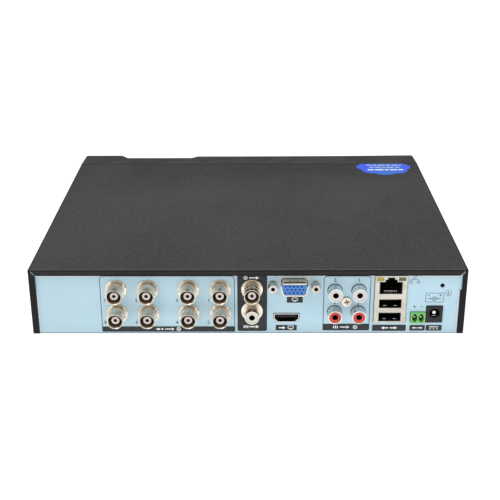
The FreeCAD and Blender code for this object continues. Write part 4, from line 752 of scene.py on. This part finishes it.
def arrows(x, z, length=6.0, spread=0.0, width=1.9):
    """One arrow along +X, or two that point apart when spread is given."""
    if not spread:
        return [(arrow(length, width, RAISED_INK), x, z)]
    return [(arrow(length, width, RAISED_INK), x + spread, z),
            (arrow(length, width, RAISED_INK), x - spread, z, 180)]


def strokes(x, z, lines, line):
    """Straight strokes of one width, given as (dx, dz, length, turn) from a middle."""
    return [(rounded(length, line, 0), x + dx, z + dz, turn) for dx, dz, length, turn in lines]


def print_video_inputs():
    """The frame of the eight inputs, its sign, and each jack's number: odd above, even below."""
    z = framed("video_in", VIDEO_FRAME, VIDEO_BAR_TOP)
    stamp("video_in_sign", WHITE_INK,
          dashes(-52.4, z, (2.2, 1.2)) + arrows(-46.4, z) + jack_sign(-41.2, z))
    marks = []
    for n, x in enumerate(JACK_X):
        marks.append((numeral(7 - 2 * n), x - 6.9, UPPER_Z - 7.0))
        marks.append((numeral(8 - 2 * n), x - 7.3, LOWER_Z - 5.9))
    stamp("video_in_numbers", GREY_INK, marks)


def print_outputs():
    """The black block behind the two outputs, open at their dishes, with a sign above and one below."""
    middle, size = area(*OUTPUT_BLOCK)
    x = OUTPUT.x / MM
    low, high = (Vector(corner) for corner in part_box("audio_out_sleeve"))
    jacks = [(x - middle[0], (z - CASE_FLOOR) / MM - middle[1]) for z in (OUTPUT.z, (low.z + high.z) / 2)]
    stamp("output_block", BLACK_INK,
          [(pierced(*size, BLOCK_RADIUS, jacks, DISH_RADIUS, DARK_INK), *middle)])
    stamp("output_signs", WHITE_INK,
          jack_sign(x - 3.7, 35.9, 1.2) + arrows(x + 1.4, 35.9, width=2.2)
          + tally(x - 3.6, 4.0) + arrows(x + 1.4, 4.0, width=2.2))


def print_monitor_and_digital():
    """A screen sign under each of the two monitor sockets, the lower one with an arrow beside it."""
    x, z = plate("monitor")
    stamp("monitor_sign", WHITE_INK, screen_sign(x, z))
    x, z = plate("digital")
    stamp("digital_sign", WHITE_INK, screen_sign(x + 2.6, z) + arrows(x - 2.6, z, 3.8))


def print_audio_inputs():
    """The frame of the four audio inputs, its sign and their numbers."""
    z = framed("audio_in", AUDIO_FRAME, AUDIO_BAR_TOP)
    stamp("audio_in_sign", WHITE_INK,
          tally(52.0, z) + arrows(57.6, z) + jack_sign(63.6, z))
    marks = []
    for n, x in enumerate((AUDIO_LOW.x / MM + PHONO_RADIUS, AUDIO_HIGH.x / MM - PHONO_RADIUS)):
        marks.append((numeral(2 - n), x, 34.3))
        marks.append((numeral(4 - n), x, 19.6))
    stamp("audio_in_numbers", GREY_INK, marks)


def polarity_symbol(x, z):
    """A barrel plug seen end on, minus at its left and plus at its right, in a frame."""
    shapes = [(rounded(10.7, 6.1, 0.3, 0.3), x, z + 0.75), (disc(1.45, 1.1), x, z), (disc(0.55), x, z)]
    wires = ((-2.6, 0, 2.3, 0), (2.4, 0, 2.6, 0))
    minus = ((-3.4, 2.2, 1.2, 0),)
    plus = ((3.4, 2.2, 1.2, 0), (3.4, 2.2, 1.2, 90))
    return shapes + strokes(x, z, wires + minus + plus, LINE)


def ground_symbol(x, z):
    """A ground sign in a ring."""
    stem = ((0, 0.55, 1.3, 90),)
    bars = ((0, -0.1, 1.9, 0), (0, -0.6, 1.2, 0), (0, -1.05, 0.6, 0))
    return [(disc(2.0, 1.75), x, z)] + strokes(x, z, stem + bars, THIN_LINE)


def network_symbol(x, z):
    """Three screens on one line, one above and two below."""
    screens = [(rounded(1.8, 1.6, 0.3, 0.28), x + dx, z + dz)
               for dx, dz in ((0, 1.75), (-2.15, -1.75), (2.15, -1.75))]
    wires = ((0, 0, 4.3, 0), (0, 0.45, 0.9, 90), (-2.15, -0.45, 0.9, 90), (2.15, -0.45, 0.9, 90))
    return screens + strokes(x, z, wires, THIN_LINE)


def print_right_end():
    """Plates with arrows and a direct current sign under the last sockets, and the symbols above them."""
    bus, control, supply = [plate(name) for name in ("bus", "control", "supply")]
    direct_current = [(rounded(5.4, 0.5, 0.1, thick=RAISED_INK), supply[0], supply[1] + 0.65)]
    direct_current += dashes(supply[0], supply[1] - 0.65, (1.3, 1.3, 1.3), 0.5, 0.75)
    stamp("right_end_signs", WHITE_INK,
          arrows(*bus, 4.2, 2.6) + arrows(*control, 2.7, 1.6, 1.5) + direct_current)
    plus_and_minus = strokes(98.2, 17.1, ((0, 0, 1.7, 0), (0, 0, 1.7, 90), (4.1, 0, 1.7, 0)), 0.35)
    stamp("symbols", GREY_INK,
          polarity_symbol(109.55, 22.3) + ground_symbol(117.5, 26.1) + network_symbol(97.3, 34.75)
          + plus_and_minus)


def print_border():
    """A painted highlight along the turned-in lips, as white bands on the film and a square in the top
    right corner, and a painted shade line along its foot.
    """
    top = (COVER_HIGH.z - CASE_FLOOR) / MM - LIP - 0.55
    side = COVER_HIGH.x / MM - LIP - 0.45
    # Painted highlight: white bands under the top and side lips, and a square where the lips meet at the
    # top right
    edge = [(rounded(2 * side, 0.8, 0), 0, top)]
    edge += [(rounded(0.6, 26.0, 0), end * side, 14.0) for end in (-1, 1)]
    edge.append((rounded(2.4, 2.4, 0), side + 1.45, top + 1.2))
    stamp("label_margin", WHITE_INK, edge)
    # Painted shade line along the label's foot
    stamp("label_foot_line", GREY_INK, [(rounded(2 * side, 0.3, 0), 0, 0.05)])


# ---- Painted shade in holes, springs and screw recesses

def lining(bm, centre, radius, front, back, hole=0.0):
    """Painted shade: a thin dark sleeve on the wall of a round hole, closed at its far end; all in
    millimetres.
    """
    outer, inner, floor = radius + 0.05, radius - 0.08, back - 0.1
    profile = [(hole, floor), (inner, floor), (inner, front), (outer, front), (outer, back), (hole, back)]
    if hole:
        profile.append(profile[0])
    absorb(bm, lathe(profile, (centre.x, 0, centre.z)), Matrix())


def line_sockets():
    """Painted shade in the bores of the ring jacks, the phono inserts and the jackscrews: dark sleeves on
    their walls.
    """
    bores = bmesh.new()
    for name in [f"video_jack_{n}" for n in range(1, 9)] + ["video_out_jack"]:
        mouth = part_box(name)[0][1] / MM
        lining(bores, node_middle(name), JACK_BORE, mouth + 0.3, mouth + JACK_DEPTH, JACK_INSULATOR)
    smooth(piece("jack_bore_shade", bores, BORE_SHADE))
    holes = bmesh.new()
    mouth = AUDIO_LOW.y / MM
    for z in (AUDIO_LOW.z + PHONO_RADIUS * MM, AUDIO_HIGH.z - PHONO_RADIUS * MM):
        for x in (AUDIO_LOW.x + PHONO_RADIUS * MM, AUDIO_HIGH.x - PHONO_RADIUS * MM):
            lining(holes, Vector((x, 0, z)), PHONO_HOLE, mouth + 0.45, mouth + PHONO_DEPTH)
    low, high = (Vector(corner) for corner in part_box("audio_out_sleeve"))
    mouth = low.y / MM
    lining(holes, (low + high) / 2, PHONO_HOLE, mouth + 0.45, mouth + PHONO_DEPTH)
    low, high = (Vector(corner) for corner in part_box("monitor_socket_jackscrews"))
    mouth = low.y / MM
    for x in (low.x + POST_RADIUS * MM, high.x - POST_RADIUS * MM):
        lining(holes, Vector((x, 0, (low.z + high.z) / 2)), POST_HOLE, mouth + 0.1, mouth + POST_DEPTH)
    smooth(piece("socket_hole_shade", holes, HOLE_SHADE))


def block(size, bevel=0.08):
    """A small box with softened edges; size in millimetres."""
    bm = bmesh.new()
    bmesh.ops.create_cube(bm, size=1.0)
    bmesh.ops.scale(bm, vec=Vector(size) * MM, verts=bm.verts)
    bmesh.ops.bevel(bm, geom=bm.edges[:], offset=bevel * MM, segments=2, profile=0.5, affect="EDGES",
                    material=-1)
    return bm


def spring_data_sockets():
    """Two contact springs on the floor of each data socket."""
    low, high = (Vector(corner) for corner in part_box("network_socket_shield"))
    middle = (low.x + high.x) / 2
    tilt = Matrix.Rotation(math.radians(-14), 4, "X")
    springs = bmesh.new()
    for name in ("data_socket_upper", "data_socket_lower"):
        z = next(mount["pos_m"][2] for mount in frame["record"]["mounts"] if mount["name"] == name)
        for side in (-1, 1):
            place = Matrix.Translation((middle + side * 3.1 * MM, low.y + 2.4 * MM, z - 1.9 * MM))
            absorb(springs, block((1.9, 3.4, 0.25)), place @ tilt)
    smooth(piece("data_socket_springs", springs, COOL_NICKEL))


def tip_contacts():
    """The bright ends of the network socket's contacts and the leaf at the power jack's mouth."""
    tips = bmesh.new()
    low, high = (Vector(corner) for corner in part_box("network_contacts"))
    first = low.x + 0.25 * MM
    pitch = (high.x - low.x - 0.5 * MM) / (CONTACT_COUNT - 1)
    for n in range(CONTACT_COUNT):
        place = Matrix.Translation((first + n * pitch, low.y - 0.1 * MM, low.z + 0.75 * MM))
        absorb(tips, block((0.5, 0.3, 0.9), 0.05), place)
    low, high = (Vector(corner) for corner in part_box("power_jack_contacts"))
    place = Matrix.Translation(((low.x + high.x) / 2, low.y - 0.1 * MM, low.z + 0.7 * MM))
    absorb(tips, block((3.2, 0.25, 1.3)), place @ Matrix.Rotation(0.5, 4, "X"))
    smooth(piece("contact_tips", tips, COOL_NICKEL))


def cross_recess(width, arm):
    """A cross pressed into a screw head: a low rim round a sunken floor, facing +Z, in millimetres."""
    reach, near = width * MM / 2, arm * MM / 2
    bm = bmesh.new()
    bmesh.ops.create_grid(bm, x_segments=3, y_segments=3, size=reach)
    for vert in bm.verts:
        for axis in (0, 1):
            if abs(vert.co[axis]) < reach - 1e-6:
                vert.co[axis] = math.copysign(near, vert.co[axis])
    middles = {face: face.calc_center_median() for face in bm.faces}
    corners = [face for face, middle in middles.items() if min(abs(middle.x), abs(middle.y)) > near]
    bmesh.ops.delete(bm, geom=corners, context="FACES")
    bmesh.ops.dissolve_faces(bm, faces=bm.faces[:])
    raised = bmesh.ops.extrude_face_region(bm, geom=bm.faces[:])["geom"]
    top = [part for part in raised if isinstance(part, bmesh.types.BMFace)]
    rim = [part for part in raised if isinstance(part, bmesh.types.BMVert)]
    bmesh.ops.translate(bm, vec=(0, 0, RECESS_RISE * MM), verts=rim)
    bmesh.ops.inset_region(bm, faces=top, thickness=RECESS_RIM * MM, depth=-RECESS_DEPTH * MM,
                           use_even_offset=True, use_boundary=True)
    return bm


def screw_heads(name, axis, side):
    """Middles of the outermost flat faces of a node's screws, looking one way along an axis."""
    spots = [vert.co for vert in NODES[name].data.vertices]
    end = max(side * spot[axis] for spot in spots)
    heads = []
    for spot in spots:
        if side * spot[axis] > end - 0.05 * MM:
            near = next((head for head in heads if (head[0] - spot).length < HEAD_SPACING * MM), None)
            if near is None:
                heads.append([spot])
            else:
                near.append(spot)
    return [sum(head, Vector()) / len(head) for head in heads]


def recess_screws():
    """Cross recesses on every screw head that shows from outside; the pan screws' recesses are dark brown
    painted shade.
    """
    down = Matrix.Rotation(math.radians(180), 4, "X")
    rightward = Matrix.Rotation(math.radians(90), 4, "Y")
    leftward = Matrix.Rotation(math.radians(-90), 4, "Y")
    blacked = FINISHES["cover_screws"]
    for name, end, axis, side, width, arm, turned, material in (
            ("pan_screws", "", 1, -1, 3.2, 0.8, UPRIGHT, RECESS_SHADE),
            ("drive_screws", "", 2, -1, 2.4, 0.6, down, SCREW_STEEL),
            ("cover_screws", "_right", 0, 1, 2.4, 0.6, rightward, blacked),
            ("cover_screws", "_left", 0, -1, 2.4, 0.6, leftward, blacked)):
        bm = bmesh.new()
        for n, spot in enumerate(screw_heads(name, axis, side)):
            spin = Matrix.Rotation(0.2 + 1.1 * n, 4, "Z")
            absorb(bm, cross_recess(width, arm), Matrix.Translation(spot) @ turned @ spin)
        piece(name + "_recess" + end, bm, material)


# ---- Sticker on the cover

def sticker():
    """A blue cloud whose far side ends straight at the cover's edge, with plain rows as its print."""
    cloud = bmesh.new()
    bmesh.ops.create_circle(cloud, cap_ends=True, radius=1.0, segments=180)
    for vert in cloud.verts:
        turn = math.atan2(vert.co.y, vert.co.x)
        lobe = 0.88 + 0.12 * abs(math.cos(4 * turn)) ** 0.6
        vert.co = (vert.co.x * lobe * STICKER_REACH_X * MM, vert.co.y * lobe * STICKER_REACH_Y * MM, 0)
    edge = COVER_HIGH.y - 0.1 * MM - STICKER_Y * MM
    everything = cloud.verts[:] + cloud.edges[:] + cloud.faces[:]
    bmesh.ops.bisect_plane(cloud, geom=everything, plane_co=(0, edge, 0), plane_no=(0, 1, 0),
                           clear_outer=True)
    thicken(cloud, STICKER_FILM * MM)
    stamp("sticker", sticker_film(), [(cloud, STICKER_X, STICKER_Y)], on_cover)
    rows = []
    for y, height, widths in ((88.9, 1.2, (4.2, 2.6, 5.4, 3.2, 4.6, 1.8)),
                              (83.8, 1.1, (3.0, 4.8, 2.2, 5.6, 3.4)),
                              (78.0, 2.6, (4.6, 6.4, 2.8, 5.6, 3.4))):
        rows += dashes(STICKER_X + 0.7, y, widths, height, 0.9)
    stamp("sticker_print", WHITE_INK, rows, on_cover)


dress_nodes()
print_border()
print_video_inputs()
print_outputs()
print_monitor_and_digital()
print_audio_inputs()
print_right_end()
line_sockets()
spring_data_sockets()
tip_contacts()
recess_screws()
sticker()


# ---- Light, floor and camera

def area_light(name, place, target, width, height, power):
    """A soft rectangular light that faces its target; sizes in metres, power in watts."""
    data = bpy.data.lights.new(name, "AREA")
    data.shape = "RECTANGLE"
    data.size = width
    data.size_y = height
    data.energy = power
    made = bpy.data.objects.new(name, data)
    bpy.context.scene.collection.objects.link(made)
    made.location = place
    made.rotation_euler = (Vector(target) - Vector(place)).to_track_quat("-Z", "Y").to_euler()


def studio():
    """A pale floor lit from within like a light table, an even white surround and two soft lights."""
    bm = bmesh.new()
    bmesh.ops.create_grid(bm, x_segments=1, y_segments=1, size=6.0)
    mesh = bpy.data.meshes.new("studio_floor")
    bm.to_mesh(mesh)
    bm.free()
    floor = bpy.data.objects.new("studio_floor", mesh)
    bpy.context.scene.collection.objects.link(floor)
    floor.location.z = CAD_BOX[0][2]
    made = Finish("studio_floor_white")
    grain = made.use(GRAIN, Scale=60.0)
    made.colour(made.blend(grain, (0.30, 0.30, 0.30), (0.32, 0.32, 0.32)))
    glow = made.blend(grain, (0.99, 0.99, 0.99), (1.0, 1.0, 1.0))
    made.link(glow, made.shader.inputs["Emission Color"])
    made.fixed(roughness=0.9, specular_ior_level=0.1, emission_strength=0.98)
    mesh.materials.append(made.material)

    world = bpy.data.worlds.new("studio_surround")
    world.use_nodes = True
    sky = next(node for node in world.node_tree.nodes if node.type == "BACKGROUND")
    sky.inputs["Color"].default_value = (1.0, 1.0, 1.0, 1.0)
    sky.inputs["Strength"].default_value = 0.6
    bpy.context.scene.world = world

    area_light("key_light", place=(-0.9, -1.1, 1.3), target=(0, 0, 0), width=1.0, height=1.0, power=7.0)
    area_light("strip_light", place=(0, -0.3, 1.1), target=(0, -0.1, 0), width=1.3, height=0.14, power=5.0)


def camera():
    """Looks along +Y and down on the rear panel, from above its middle."""
    data = bpy.data.cameras.new("rear_view")
    data.lens = 71.69
    data.sensor_width = 36.0
    made = bpy.data.objects.new("rear_view", data)
    bpy.context.scene.collection.objects.link(made)
    yaw, pitch, roll = (math.radians(angle) for angle in (0.28, 90 - 23.033, -0.17))
    place = Matrix.Translation((0.0039, COVER_LOW.y - 0.5261, CASE_FLOOR + 0.27765))
    made.matrix_world = (place @ Matrix.Rotation(yaw, 4, "Z") @ Matrix.Rotation(pitch, 4, "X")
                         @ Matrix.Rotation(roll, 4, "Z"))
    bpy.context.scene.camera = made


studio()
camera()
bpy.context.scene.view_settings.view_transform = "Standard"
